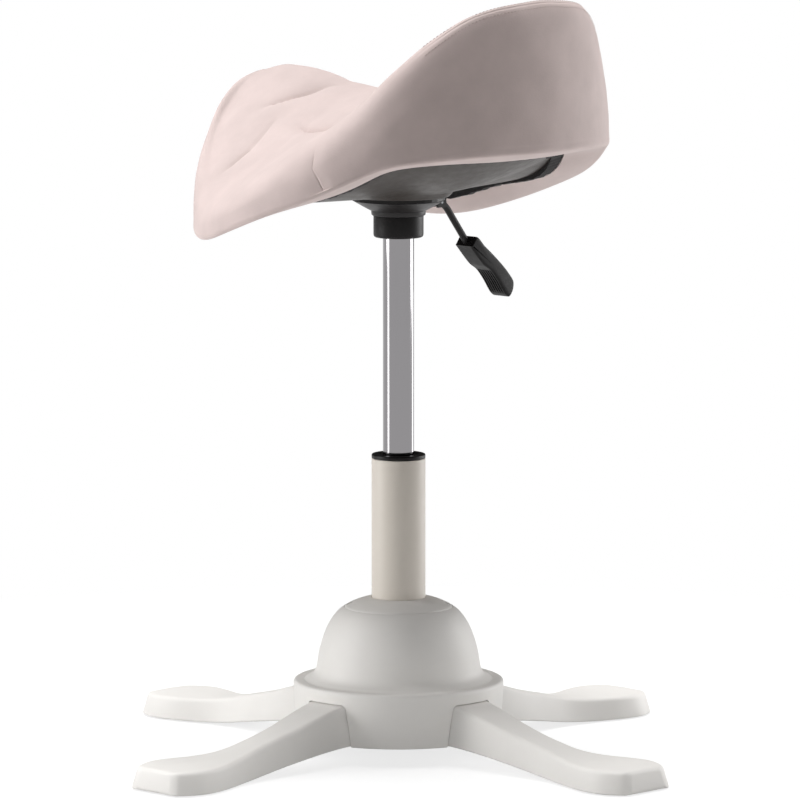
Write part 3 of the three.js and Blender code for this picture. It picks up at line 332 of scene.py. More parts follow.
class StoolBaseSizes(PropertyGroup):
    """Sizes of the hub and of the legs."""

    ledge_height: length("Ledge height", "Height of the ledge round the dome", 0.0685)
    ledge_round: length("Ledge round", "Rounding of the ledge's edge", 0.004)
    hub_foot_radius: length("Hub foot radius", "Radius of the hub's lower edge", 0.095)
    dome_radius: length("Dome radius", "Radius of the dome above the ledge", 0.076)
    wall: length("Cover wall", "Thickness of the hub's cover", 0.004)
    cap_slope: length("Cap slope", "How far the cap falls from the column to its edge", 0.0085)
    cap_crown: length("Cap crown", "How far the cap bows up between them", 0.0012)
    cap_thickness: length("Cap thickness", "Thickness of the cap", 0.0045)
    screw_circle: length("Screw circle", "Distance of the cap's screws from the column", 0.045)
    screw_head: length("Screw head", "Radius of a cap screw's head", 0.0028)
    screw_recess: length("Screw recess", "Radius of the recess round a cap screw", 0.0032)
    leg_root: length("Leg root", "Where a leg leaves the hub", 0.086)
    leg_root_height: length("Leg root height", "Height of a leg's top at its root", 0.0595)
    leg_root_floor: length("Leg root floor", "Height of a leg's underside at its root", 0.0185)
    leg_half_width: length("Leg half width", "Half the width of a leg at its root", 0.03)
    leg_round: length("Leg round", "Rounding of a leg's upper edges", 0.0045)
    sole_round: length("Sole round", "Rounding of a leg's lower edges", 0.0022)
    sole_height: length("Sole height", "Height of a foot's underside", 0.0015)
    tip_draft: length("Tip draft", "How far a leg's end leans back", 0.005)
    tip_round: length("Tip round", "Rounding of a leg's end", 0.0035)
    slot_gap: length("Slot gap", "Gap between a leg and the hub", 0.001)
    pad_radius: length("Pad radius", "Radius of a foot's pad", 0.015)
    sides: IntProperty(name="Sides", description="Sides of the hub's round pieces", default=192, min=24)


class StoolColumnSizes(PropertyGroup):
    """Sizes of the column, the mechanism and the lever."""

    tube_wall: length("Tube wall", "Wall of the stand tube", 0.0017)
    edge_round: length("Edge round", "Rounding of turned edges", 0.0008)
    cylinder_bore: length("Cylinder bore", "Radius of the cylinder's bore", 0.011)
    collar_round: length("Collar round", "Rounding of the collar's lower edge", 0.003)
    bowl_neck: length("Bowl neck", "Radius of the bowl's lower end", 0.025)
    bowl_wall: length("Bowl wall", "Wall of the bowl", 0.0024)
    rod_radius: length("Rod radius", "Radius of the lever's rod", 0.0032)
    bend_reach: length("Bend reach", "Distance of the rod's bend from the column", 0.0585)
    stem: length("Stem", "Length of the rod from its bend to the handle", 0.0505)
    in_handle: length("Rod in handle", "How far the rod goes into the handle", 0.013)
    handle_length: length("Handle length", "Length of the handle", 0.073)
    handle_width: length("Handle width", "Width of the handle", 0.022)
    handle_depth: length("Handle depth", "From the rod's line to the handle's upper face", 0.009)
    handle_round: length("Handle round", "Rounding of the handle's edges", 0.0022)
    rib_pitch: length("Rib pitch", "Distance between the handle's ribs", 0.003)
    rib_depth: length("Rib depth", "Depth of the grooves between the ribs", 0.0013)
    sides: IntProperty(name="Sides", description="Sides of the column's round pieces", default=128, min=24)


class StoolColours(PropertyGroup):
    """Colours of the finishes."""

    fabric: colour("Seat cover", "Pale pink grey cover", (0.855, 0.787, 0.772))
    thread: colour("Thread", "Sewing thread of the cover", (0.79, 0.725, 0.71))
    base_coat: colour("Base paint", "Warm grey paint of the base", (0.92, 0.91, 0.895))
    tube_coat: colour("Tube paint", "Beige grey paint of the stand tube", (0.86, 0.83, 0.79))
    chrome: colour("Chrome", "Polished gas cylinder", (0.57, 0.562, 0.57))
    steel: colour("Steel", "Plain steel pieces", (0.55, 0.56, 0.57))
    black_plastic: colour("Black plastic", "Collar, bush and handle", (0.08, 0.073, 0.073))
    dark_plastic: colour("Dark plastic", "Bowl under the seat", (0.14, 0.13, 0.13))
    dark_metal: colour("Black paint", "Mount plate, bracket and rod", (0.1, 0.092, 0.09))
    shell_plastic: colour("Shell plastic", "Shell under the seat", (0.245, 0.223, 0.208))
    rubber: colour("Rubber", "Pads and seals", (0.13, 0.13, 0.13))
    wood: colour("Plywood", "Seat board", (0.79, 0.66, 0.47))
    floor: colour("Floor", "Plain pale floor", (0.8, 0.8, 0.8))


# Surfaces

def smooth(table, x):
    """Value at x through rows of place and value: cubic pieces, each with the slope between a row's
    neighbours."""
    place, value = np.array(table, float).T
    slope = np.empty_like(value)
    slope[1:-1] = (value[2:] - value[:-2]) / (place[2:] - place[:-2])
    slope[0] = (value[1] - value[0]) / (place[1] - place[0])
    slope[-1] = (value[-1] - value[-2]) / (place[-1] - place[-2])
    at = np.clip(x, place[0], place[-1])
    i = np.clip(np.searchsorted(place, at) - 1, 0, len(place) - 2)
    span = place[i + 1] - place[i]
    t = (at - place[i]) / span
    rise = (2 * t**3 - 3 * t**2 + 1) * value[i] + (3 * t**2 - 2 * t**3) * value[i + 1]
    return rise + (t**3 - 2 * t**2 + t) * span * slope[i] + (t**3 - t**2) * span * slope[i + 1]


def bell(distance, width):
    """Bell curve: 1 at no distance, and e to the power of minus the square of the distance in widths."""
    return np.exp(-((distance / width) ** 2))


def drawn(table):
    """An outline of the seat all round, from rows of degrees from the rear and value: both sides alike, its
    corners rounded by a bell curve."""
    weight = np.exp(-0.5 * (ANGLES / SOFTENING) ** 2)
    parts = np.fft.fft(smooth(table, np.abs(ANGLES))) * np.fft.fft(np.fft.ifftshift(weight / weight.sum()))
    return np.fft.ifft(parts).real


def around(outline, turn):
    """Value of an outline at a turn from the rear, in degrees."""
    return np.interp(turn, ANGLES, outline, period=360)


def column(table, n, x):
    """Value at x in column n of a table whose first column is the place."""
    return smooth([[row[0], row[n]] for row in table], x)


def ease(x, start, end):
    """From 0 at start to 1 at end, flat at both."""
    t = np.clip((x - start) / (end - start), 0, 1)
    return t * t * (3 - 2 * t)


def rounded(corners, steps=5):
    """Closed outline through corners of x, y and round: each corner is a parabola that begins and ends the
    round's length away from it, and at most half way to the next."""
    at = np.array(corners, float)
    point, cut = at[:, :2], at[:, 2]
    legs = [np.roll(point, shift, axis=0) - point for shift in (1, -1)]
    spans = [np.linalg.norm(leg, axis=1) for leg in legs]
    ends = [point + leg * (np.minimum(cut, span / 2) / span)[:, None] for leg, span in zip(legs, spans)]
    t = np.linspace(0, 1, steps)[None, :, None]
    curve = (1 - t)**2 * ends[0][:, None] + 2 * t * (1 - t) * point[:, None] + t**2 * ends[1][:, None]
    outline = curve.reshape(-1, 2)
    kept = np.linalg.norm(outline - np.roll(outline, 1, axis=0), axis=1) > SAME_PLACE
    return outline[kept]


def sheet_faces(rows, sides, looped):
    """Four-sided faces between neighbouring rows, closed round the sides, and from the last row to the
    first."""
    index = np.arange(rows * sides).reshape(rows, sides)
    near = index if looped else index[:-1]
    far = np.roll(index, -1, axis=0) if looped else index[1:]
    quads = np.stack([near, np.roll(near, -1, axis=1), np.roll(far, -1, axis=1), far], axis=-1)
    return quads.reshape(-1, 4)


def volume(points, quads, fans):
    """Signed volume inside the faces, which is positive where they point outwards."""
    a, b, c, d = (points[quads[:, i]] for i in range(4))
    total = (a * (np.cross(b, c) + np.cross(c, d))).sum()
    if len(fans):
        a, b, c = (points[fans[:, i]] for i in range(3))
        total += (a * np.cross(b, c)).sum()
    return total


def surface(name, grid, looped=False):
    """Closed object from a grid of points, rows by sides by 3. The ends close on their middle points, or the
    last row joins the first."""
    rows, sides = grid.shape[:2]
    points = grid.reshape(-1, 3)
    quads = sheet_faces(rows, sides, looped)
    fans = np.empty((0, 3), int)
    if not looped:
        points = np.vstack([points, grid[0].mean(axis=0), grid[-1].mean(axis=0)])
        ring = np.arange(sides)
        onward = np.roll(ring, -1)
        last = (rows - 1) * sides
        first_fan = np.stack([onward, ring, np.full(sides, rows * sides)], axis=1)
        last_fan = np.stack([ring + last, onward + last, np.full(sides, rows * sides + 1)], axis=1)
        fans = np.vstack([first_fan, last_fan])
    if volume(points, quads, fans) < 0:
        quads, fans = quads[:, ::-1], fans[:, ::-1]
    return mesh_object(name, points, quads.tolist() + fans.tolist())


def mesh_object(name, points, faces, sharp=SHARP):
    """Object at the origin from points and faces, smooth but for edges sharper than an angle in degrees."""
    mesh = bpy.data.meshes.new(name)
    mesh.from_pydata(points.tolist(), [], faces)
    mesh.validate()
    shaded(mesh, sharp)
    obj = bpy.data.objects.new(name, mesh)
    bpy.context.scene.collection.objects.link(obj)
    return obj


def shaded(mesh, sharp):
    """Smooth shading, but for edges sharper than an angle in degrees."""
    mesh.polygons.foreach_set("use_smooth", np.ones(len(mesh.polygons), bool))
    mesh.set_sharp_from_angle(angle=math.radians(sharp))
    mesh.update()


def turned_grid(outline, sides, centre=(0, 0)):
    """Rows of points: each place of an outline of radius and height, carried round the vertical line through
    centre."""
    turn = np.linspace(0, 2 * np.pi, sides, endpoint=False)[None, :]
    radius, height = (outline[:, i][:, None] for i in (0, 1))
    x = centre[0] + radius * np.cos(turn)
    y = centre[1] + radius * np.sin(turn)
    return np.stack([x, y, height + 0 * turn], axis=-1)


def revolved(name, outline, sides):
    """A closed outline of radius and height carried round the column."""
    return surface(name, turned_grid(outline, sides), looped=True)


def solid_disc(name, radius, floor, top, sides, centre=(0, 0), edge=0.0):
    """A round piece with no bore: its rows run from the middle of its floor, round its edges, to its top."""
    loop = rounded([[0, floor, 0], [radius, floor, edge], [radius, top, edge], [0, top, 0]])
    return surface(name, turned_grid(loop[loop[:, 0] > radius / 100], sides, centre))


def turned_about(points, turn):
    """Points turned round the column by an angle in radians."""
    c, s = math.cos(turn), math.sin(turn)
    return points @ np.array([[c, s, 0], [-s, c, 0], [0, 0, 1]])


def carved(obj, cutters, sharp=SHARP):
    """Takes the cutters out of obj, and out of the scene."""
    for cutter in cutters:
        cut = obj.modifiers.new("cut", "BOOLEAN")
        cut.operation, cut.solver, cut.object = "DIFFERENCE", "EXACT", cutter
    graph = bpy.context.evaluated_depsgraph_get()
    mesh = bpy.data.meshes.new_from_object(obj.evaluated_get(graph))
    obj.modifiers.clear()
    mesh.name = obj.name
    obj.data = mesh
    shaded(mesh, sharp)
    for cutter in cutters:
        bpy.data.objects.remove(cutter)
    return obj


def dressed(obj, body, slot, nodes, finish=None):
    """Gives a piece the finish of its slot, or another finish, and its body, and hides the nodes that it stands
    for.
    """
    obj.data.materials.clear()
    obj.data.materials.append(bpy.data.materials[PREFIX + (finish or slot)])
    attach(obj, body)
    if nodes:
        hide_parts(*nodes)
    return obj


def grid_normals(grid):
    """Unit normals of a grid that is closed round its sides, from the slopes along both of its directions."""
    down = np.gradient(grid, axis=0)
    across = np.roll(grid, -1, axis=1) - np.roll(grid, 1, axis=1)
    normal = np.cross(across, down)
    return normal / np.maximum(np.linalg.norm(normal, axis=-1, keepdims=True), SAME_PLACE**2)


# Seat

def seat_point(turn, radius, height):
    """Points at a turn from the seat's rear, in degrees, a distance from the column and a height."""
    a = np.radians(turn)
    radius, height = np.broadcast_to(radius, a.shape), np.broadcast_to(height, a.shape)
    return np.stack([radius * np.sin(a), radius * np.cos(a), height], axis=-1)


WIDEST, CREST_RING, CREST_LINE = drawn(OUTLINE), drawn(CREST_OUT), drawn(CREST)
HEM_LINE, RIM_LINE, SHADE_HANG_LINE = drawn(HEM), drawn(RIM), drawn(SHADE_HANG)


def widest_radius(turn):
    """Distance from the column to the widest line, at a turn from the rear."""
    return SEAT_RADIUS * around(WIDEST, turn)


def crest_radius(turn):
    """Distance from the column to the crest, at a turn from the rear."""
    return SEAT_RADIUS * around(CREST_RING, turn)


def crest_height(turn):
    """Height of the crest, at a turn from the rear."""
    return SEAT_FLOOR + CANTLE_RISE * around(CREST_LINE, turn)


def hem_height(turn):
    """Height of the cushion's lower edge, at a turn from the rear."""
    return SEAT_FLOOR + CANTLE_RISE * around(HEM_LINE, turn)


def shade_hang(turn):
    """How much deeper the edge strip hangs at a turn than at the rear, where the black strip is hung low as
    painted shade in the gap under the shell.
    """
    return around(SHADE_HANG_LINE, turn)


def top_height(x, y, edge):
    """Height of the seat's top: the middle line's height, bent towards the crest at the same place along the
    seat by the share of the half chord from the middle line, to a power that makes an arch or a ridge."""
    along = np.clip(y / edge, -1, 1)
    spine = SEAT_FLOOR + CANTLE_RISE * smooth(SPINE, along)
    chord = np.sqrt(1 - along**2) * edge
    side = crest_height(np.degrees(np.arccos(along)))
    out = np.where(chord > GAP, np.minimum(np.abs(x) / np.maximum(chord, GAP), 1), 1)
    return spine + (side - spine) * out ** smooth(RIDGE, along)


def crease(distance, width):
    """Nearly 1 on a seam and 0 a width away, falling as a quarter circle does but for a narrow round
    bottom."""
    t = np.clip(np.hypot(distance / width, CREASE_BOTTOM), 0, 1)
    return 1 - np.sqrt(t * (2 - t))


def sewn(x, y, line, width):
    """Depth of a sewn crease at x and y, on either flank: through rows of out, along and depth, it is a
    crease by the distance from the line, with the depth at the line's nearest place."""
    knots = np.array(line)
    at = np.arange(len(knots))
    fine = np.linspace(0, at[-1], CREASE_STEPS * at[-1] + 1)
    out, along, deep = (smooth(np.stack([at, knots[:, i]], axis=1), fine) for i in range(3))
    depth = np.zeros_like(x)
    for i in range(len(fine) - 1):
        step = np.array([out[i + 1] - out[i], along[i + 1] - along[i]])
        t = np.clip(((np.abs(x) - out[i]) * step[0] + (y - along[i]) * step[1]) / (step @ step), 0, 1)
        away = np.hypot(np.abs(x) - out[i] - t * step[0], y - along[i] - t * step[1])
        depth = np.maximum(depth, (deep[i] + t * (deep[i + 1] - deep[i])) * crease(away, width))
    return depth


def creases(x, y, s):
    """Depth of the sewn creases at x and y, and of the hollow along the top panel's border in front, a bell
    curve by the distance from the border."""
    depth = np.max([sewn(x, y, line, s.crease_width) for line in CREASES], axis=0)
    border = bell(np.hypot(x, y) - s.panel_radius, BORDER_WIDTH)
    border = border * ease(-y, *BORDER_AHEAD) * ease(np.abs(x), *BORDER_ASIDE)
    return s.crease_depth * depth + s.border_depth * border


def shell_height(turn, radius, s):
    """Height of the shell's lower face: flat over its boss, then bowed as the square of the distance from the
    column, up to the rim's height."""
    rim = CANTLE_RISE * around(RIM_LINE, turn)
    bow = ease(radius, s.boss_radius, s.boss_radius + BOSS_EDGE) * (radius / SHELL_RADIUS) ** 2
    return SEAT_FLOOR + rim * bow


def seat_turns(count):
    """Angles from the seat's rear, closer together beside the side seams by a bell curve."""
    fine = np.linspace(-180, 180, FINE_TURNS)
    weight = 1 + CROWDING * bell(np.abs(fine) - SIDE_SEAM, CROWDING_REACH)
    total = np.concatenate([[0], np.cumsum((weight[1:] + weight[:-1]) / 2)])
    return np.interp(np.linspace(0, total[-1], count, endpoint=False), total, fine)


def seat_rows():
    """Rows of the cushion from the middle of its top out over the crest and down the wall. Gives, for each
    row, its share of the top, of the roll and of the wall. They lie closer together at the crest's seam and
    by the hem."""
    top = np.linspace(0, 1, TOP_ROWS)[1:]
    beside = ROLL_SEAM + np.linspace(-SEAM_BAND, SEAM_BAND, SEAM_ROWS)
    roll = np.unique(np.concatenate([np.linspace(0, 1, ROLL_ROWS)[1:], beside]))
    wall = np.concatenate([np.linspace(0, HEM_BAND, WALL_ROWS)[1:], np.linspace(HEM_BAND, 1, HEM_ROWS)[1:]])
    zero, one = np.zeros, np.ones
    return np.concatenate([
        np.stack([top, zero(len(top)), zero(len(top))], axis=1),
        np.stack([one(len(roll)), roll, zero(len(roll))], axis=1),
        np.stack([one(len(wall)), one(len(wall)), wall], axis=1),
    ])


def seat_skin(rows, turn, s):
    """The cushion's upper skin. The top is a height over x and y, the roll a parabola from it through the
    crest to the wall, and the wall a parabola from there to the widest line at the hem, upright there. The
    wall begins at the share of the way out at which both have one slope."""
    top, roll, wall = (rows[:, i][:, None] for i in range(3))
    crest_r, crest_z = crest_radius(turn), crest_height(turn)
    soft = 1 + FLANK_SOFTNESS * ease(np.abs(turn), *FLANK_START) * (1 - ease(np.abs(turn), *FLANK_END))
    inset = widest_radius(turn) - crest_r
    roll_in = ((s.crest_roll * soft) ** -ROLL_BLEND + (ROLL_LIMIT * inset) ** -ROLL_BLEND) ** (-1 / ROLL_BLEND)
    flat_r = (crest_r - roll_in) * top
    a = np.radians(turn)
    x, y = flat_r * np.sin(a), flat_r * np.cos(a)
    flat_z = top_height(x, y, crest_r)
    hem = hem_height(turn) + s.hem_roll
    drop = 1 / (1 / (s.wall_roll * soft) + 1 / (crest_z - hem))
    lean = 2 * drop / (crest_z - drop - hem)
    out = (roll_in / (3 * inset) + lean) / (1 + lean)
    wall_r, wall_z = crest_r + inset * out, crest_z - drop
    curve = []
    for start, crest, end in ((flat_r, crest_r, wall_r), (flat_z, crest_z, wall_z)):
        pull = 2 * crest - (start + end) / 2
        curve.append((1 - roll)**2 * start + 2 * roll * (1 - roll) * pull + roll**2 * end)
    radius = curve[0] + inset * (1 - out) * wall * (2 - wall)
    height = curve[1] + (hem - wall_z) * wall
    return seat_point(turn + 0 * radius, radius, height)


def seam_shown(turn):
    """Depth of the crest's seam by the turn from the rear: full at the rear, gone along the flanks, part in
    front."""
    return 1 - ease(np.abs(turn), *SEAM_FADES) + FRONT_SEAM * ease(np.abs(turn), *SEAM_RETURNS)


def unevenness(x, y, z):
    """Slight unevenness of the padding: a sum of products of two sine waves over x, y and z."""
    total = 0
    for share, *pair in WAVES:
        first, second = (np.sin(x * i + y * j + z * k + start) for i, j, k, start in pair)
        total = total + share * first * second
    return UNEVENNESS * total


def seat_relief(grid, rows, turn, base_turn, s):
    """How far each point of the upper skin is sewn in: the creases of the top, the crest's seam and the side
    seams with a hollow along each, all bell curves by the distance from their lines, less the welt above the
    hem, and the padding's unevenness."""
    x, y, z = (grid[..., i] for i in range(3))
    roll, wall = rows[:, 1][:, None], rows[:, 2][:, None]
    shown = seam_shown(turn)
    depth = creases(x, y, s) * (roll < ROLL_SEAM)
    off_seam = (roll - ROLL_SEAM) * ROLL_RUN
    seam = s.seam_depth * bell(off_seam, s.seam_width) + SWELL_DEPTH * bell(off_seam, SWELL_WIDTH)
    depth = depth + shown * seam * ((roll > 0) & (wall == 0))
    welt = bell(z - hem_height(turn) - WELT_RISE, WELT_WIDTH)
    depth = depth - s.welt_height * welt * (wall > 0) * shown
    off_side = np.radians(np.abs(base_turn) - SIDE_SEAM) * SEAT_RADIUS
    side = s.seam_depth * SIDE_SEAM_DEEPER * bell(off_side, SIDE_SEAM_WIDTH)
    side = side + SIDE_PULL_DEPTH * bell(off_side, SIDE_PULL_WIDTH)
    return depth + ease(roll, ROLL_SEAM, 1) * side + unevenness(x, y, z)


class StoolCushion(Operator):
    """Padded saddle cushion with its sewn creases, seams and rolled hem"""

    bl_idname = "stool.cushion"
    bl_label = "Seat cushion"

    def execute(self, context):
        s = context.scene.stool_seat
        base_turn = seat_turns(COLUMNS)[None, :]
        rows = seat_rows()
        bend = bell(np.abs(base_turn) - SIDE_SEAM, SIDE_SEAM_REACH) * np.sign(base_turn)
        sweep = SIDE_SEAM_SWEEP * (SWEEP_ON_ROLL * rows[:, 1] + (1 - SWEEP_ON_ROLL) * rows[:, 2])[:, None]
        turn = base_turn - bend * sweep
        skin = seat_skin(rows, turn, s)
        outward = grid_normals(skin)
        outward *= np.sign(outward[0, 0, 2])
        relief = seat_relief(skin, rows, turn, base_turn, s)
        skin = skin - outward * relief[..., None]
        piece = surface("cushion", np.concatenate([skin, self.under(turn[-1:], s)]))
        dressed(piece, "seat", "fabric", ["seat_cushion"])
        return {"FINISHED"}

    def under(self, turn, s):
        """The hem's quarter round, the margin under the seat, which sags as a half sine, the pocket's wall
        and the face on the board."""
        widest, hem = widest_radius(turn), hem_height(turn)
        a = np.linspace(0, np.pi / 2, ARC_STEPS)[1:, None]
        arc_r, arc_z = widest - s.hem_roll * (1 - np.cos(a)), hem + s.hem_roll * (1 - np.sin(a))
        arc = seat_point(turn + 0 * a, arc_r, arc_z)
        pocket = STRIP_RADIUS + 2 * GAP
        t = np.linspace(0, 1, MARGIN_STEPS)[1:, None]
        rim = shell_height(turn, SHELL_RADIUS, s)
        margin_r = widest - s.hem_roll + (pocket - widest + s.hem_roll) * t
        # the margin runs down to the strip, which hangs low as painted shade under the shell
        margin_z = hem + (rim - s.strip_drop - shade_hang(turn) - hem) * t - MARGIN_SAG * np.sin(np.pi * t)
        margin = seat_point(turn + 0 * t, margin_r, margin_z)
        top = s.shell_thickness + s.board_thickness + 2 * GAP
        share = np.array(FACE_SHARES)[:, None]
        radius = pocket * share
        face_z = shell_height(turn, np.minimum(radius, SHELL_RADIUS), s) + top
        face = seat_point(turn + 0 * share, radius, face_z)
        return np.concatenate([arc, margin, face])


def stitches(name, centre, along, up, s):
    """Stitches at the rows of centre: each a short rod that follows along and bulges towards up as a
    parabola, its ends thinner, by a square root, and sunk."""
    step = np.linspace(-1, 1, STITCH_RINGS)[:, None]
    a = np.linspace(0, 2 * np.pi, STITCH_SIDES, endpoint=False)[None, :]
    radius = s.thread_radius * np.sqrt(np.clip(STITCH_TAPER - step**2, STITCH_TAPER - 1, 1))
    ahead = step * s.stitch_length / 2 + 0 * a
    lift = s.thread_radius * (STITCH_LIFT - STITCH_DIP * step**2) + radius * np.sin(a)
    side = radius * np.cos(a)
    across = np.cross(along, up)
    local = [v.reshape(-1)[None, :, None] for v in (ahead, side, lift)]
    points = centre[:, None] + local[0] * along[:, None] + local[1] * across[:, None] + local[2] * up[:, None]
    quads = sheet_faces(STITCH_RINGS, STITCH_SIDES, False)
    start = np.arange(STITCH_SIDES)
    caps = [start[::-1], start + (STITCH_RINGS - 1) * STITCH_SIDES]
    if volume(points[0], quads, np.empty((0, 3), int)) < 0:
        quads, caps = quads[:, ::-1], [cap[::-1] for cap in caps]
    shift = np.arange(len(centre))[:, None, None] * STITCH_RINGS * STITCH_SIDES
    faces = (quads[None] + shift).reshape(-1, 4).tolist()
    for cap in caps:
        faces += (cap[None] + shift[:, 0]).tolist()
    return mesh_object(name, points.reshape(-1, 3), faces)


def skin_frame(rows, turn, s):
    """Points of the sewn skin along one line over it, with the line's direction and the skin's outward
    normal, from small steps along the line and across it."""
    points = seat_skin(rows, turn, s)[0]
    ahead = seat_skin(rows, turn + NUDGE_TURN, s)[0] - seat_skin(rows, turn - NUDGE_TURN, s)[0]
    down = seat_skin(rows + [0, NUDGE_ROLL, 0], turn, s)[0] - points
    along = ahead / np.linalg.norm(ahead, axis=1, keepdims=True)
    up = np.cross(along, down)
    up /= np.linalg.norm(up, axis=1, keepdims=True)
    outside = seat_point(turn, 1, OUTWARD_RISE)[0]
    up *= np.sign((up * outside).sum(axis=1, keepdims=True))
    return points, along, up


class StoolStitching(Operator):
    """Rows of stitches beside the seam round the crest"""

    bl_idname = "stool.stitching"
    bl_label = "Stitching"

    def execute(self, context):
        s = context.scene.stool_seat
        for name, side in (("stitches_upper", -1), ("stitches_lower", 1)):
            row = np.array([[1, ROLL_SEAM + side * STITCH_OFFSET, 0]])
            fine = np.linspace(-180, 180, SEAM_POINTS)[None, :]
            line = seat_skin(row, fine, s)[0]
            run = np.concatenate([[0], np.cumsum(np.linalg.norm(np.diff(line, axis=0), axis=1))])
            count = int(run[-1] / s.stitch_pitch)
            turn = np.interp(np.arange(count) * run[-1] / count, run, fine[0])
            turn = turn[seam_shown(turn) > STITCH_LIMIT][None, :]
            points, along, up = skin_frame(row, turn, s)
            piece = stitches(name, points - up * s.thread_radius, along, up, s)
            dressed(piece, "seat", "fabric", [], finish="thread")
        return {"FINISHED"}


class StoolShell(Operator):
    """Shell under the seat and the strip round its edge"""

    bl_idname = "stool.shell"
    bl_label = "Seat shell"

    def execute(self, context):
        s = context.scene.stool_seat
        turn = np.linspace(-180, 180, SHELL_SIDES, endpoint=False)[None, :]
        share = SHELL_SHARES[:, None]
        radius = SHELL_RADIUS * share
        under = seat_point(turn + 0 * share, radius, shell_height(turn, radius, s))
        over = under[::-1] + [0, 0, s.shell_thickness]
        shell = surface("seat_shell", np.concatenate([under, over]))
        dressed(shell, "seat", "shell_plastic", ["under_cover"])
        self.strip(s)
        return {"FINISHED"}

    def strip(self, s):
        """A band round the shell's edge: an outline of radius and height, carried round at the rim's height.
        Its lower face is trimmed and hangs unevenly, and is rough by two sine waves. Where it hangs deepest,
        the black band is painted shade in the shadowed gap under the shell."""
        turn = np.linspace(-180, 180, STRIP_SIDES, endpoint=False)[None, :]
        top = s.shell_thickness + s.board_thickness + GAP
        inner, outer = SHELL_RADIUS + GAP, STRIP_RADIUS
        lap = SHELL_RADIUS - s.strip_lap
        corners = [
            [lap, -GAP], [lap, -s.strip_drop], [outer, -s.strip_drop], [outer, top], [inner, top],
            [inner, -GAP],
        ]
        outline = rounded(np.column_stack([corners, STRIP_ROUNDS]))
        r, z = outline[:, 0][:, None], outline[:, 1][:, None]
        below = z < -GAP
        a = np.radians(turn)
        drifting = np.sin(a * STRIP_DRIFTS)
        rough = sum(depth * np.sin(a * waves + drift * drifting) for depth, waves, drift in STRIP_WAVES) * below
        trim = np.interp(turn, TRIM_TURNS, TRIM_LAPS)
        r = outer + (r - outer) * np.where(r < inner, trim, 1)
        # the strip hangs lower where the black band is painted shade under the shell
        height = shell_height(turn, np.minimum(r, SHELL_RADIUS) + 0 * turn, s) + z + rough - shade_hang(turn) * below
        piece = surface("edge_binding", seat_point(turn + 0 * r, r, height), looped=True)
        dressed(piece, "seat", "black_plastic", ["edge_strip"], finish="woven_strip")


# Base

def hub_outline(b):
    """The hub's outer outline: up its side, round the ledge and up the dome, through the dome's table, to the
    lip beside the cap."""
    place = np.linspace(DOME[0][1], DOME[-1][1], DOME_ROWS)
    dome = [[row[1], row[0]] for row in DOME]
    rise = CAP_TOP - b.ledge_height
    radius = smooth(dome, place) * b.dome_radius
    height = b.ledge_height + place * rise
    ledge = rounded([
        [0, HUB_FLOOR, 0], [b.hub_foot_radius, HUB_FLOOR, HUB_FOOT_ROUND],
        [HUB_RADIUS, b.ledge_height, b.ledge_round],
        [radius[0] + LEDGE_IN, b.ledge_height, LEDGE_IN_ROUND], [0, b.ledge_height + LEDGE_RISE, 0],
    ])
    ledge = ledge[ledge[:, 0] > LEDGE_IN]
    edge = CAP_TOP - b.cap_slope
    rim = [[CAP_RADIUS + GAP, edge - CAP_PROUD], [CAP_RADIUS + GAP, edge - CAP_RIM_DEPTH]]
    return np.concatenate([ledge, np.stack([radius, height], axis=1), rim])


def inset(outline, wall):
    """An outline moved to its left by a wall's thickness."""
    step = np.gradient(outline, axis=0)
    step /= np.linalg.norm(step, axis=1, keepdims=True)
    return outline + np.stack([-step[:, 1], step[:, 0]], axis=1) * wall


def leg_section(share, b, grow=0.0):
    """Points round a leg's section at a share of its run: a low shape, wider at its foot, with rounded
    corners."""
    half, draft, top, floor = (float(column(LEG, n, share)) for n in (1, 2, 3, 4))
    half = half * b.leg_half_width + grow
    top = top * b.leg_root_height + grow
    floor = b.sole_height + floor * (b.leg_root_floor - b.sole_height) - grow
    return leg_loop(half, half - draft * b.leg_half_width, floor, top, b.leg_round, b.sole_round)


def leg_loop(foot_half, top_half, floor, top, top_round, sole_round):
    """Closed loop of y and z with rounded corners, and a slightly crowned top."""
    waist, middle = (foot_half + top_half) / 2, (floor + top) / 2
    return rounded([
        [0, floor, LEG_SEAM_ROUND], [foot_half, floor, sole_round], [waist, middle, LEG_SEAM_ROUND],
        [top_half, top, top_round], [0, top + LEG_CROWN, LEG_CROWN_ROUND], [-top_half, top, top_round],
        [-waist, middle, LEG_SEAM_ROUND], [-foot_half, floor, sole_round],
    ], steps=6)


def on_circle(distance, turn):
    """Place at a distance from the column and a turn in radians from the seat's left."""
    return tuple(turned_about(np.array([distance, 0, 0]), turn)[:2])


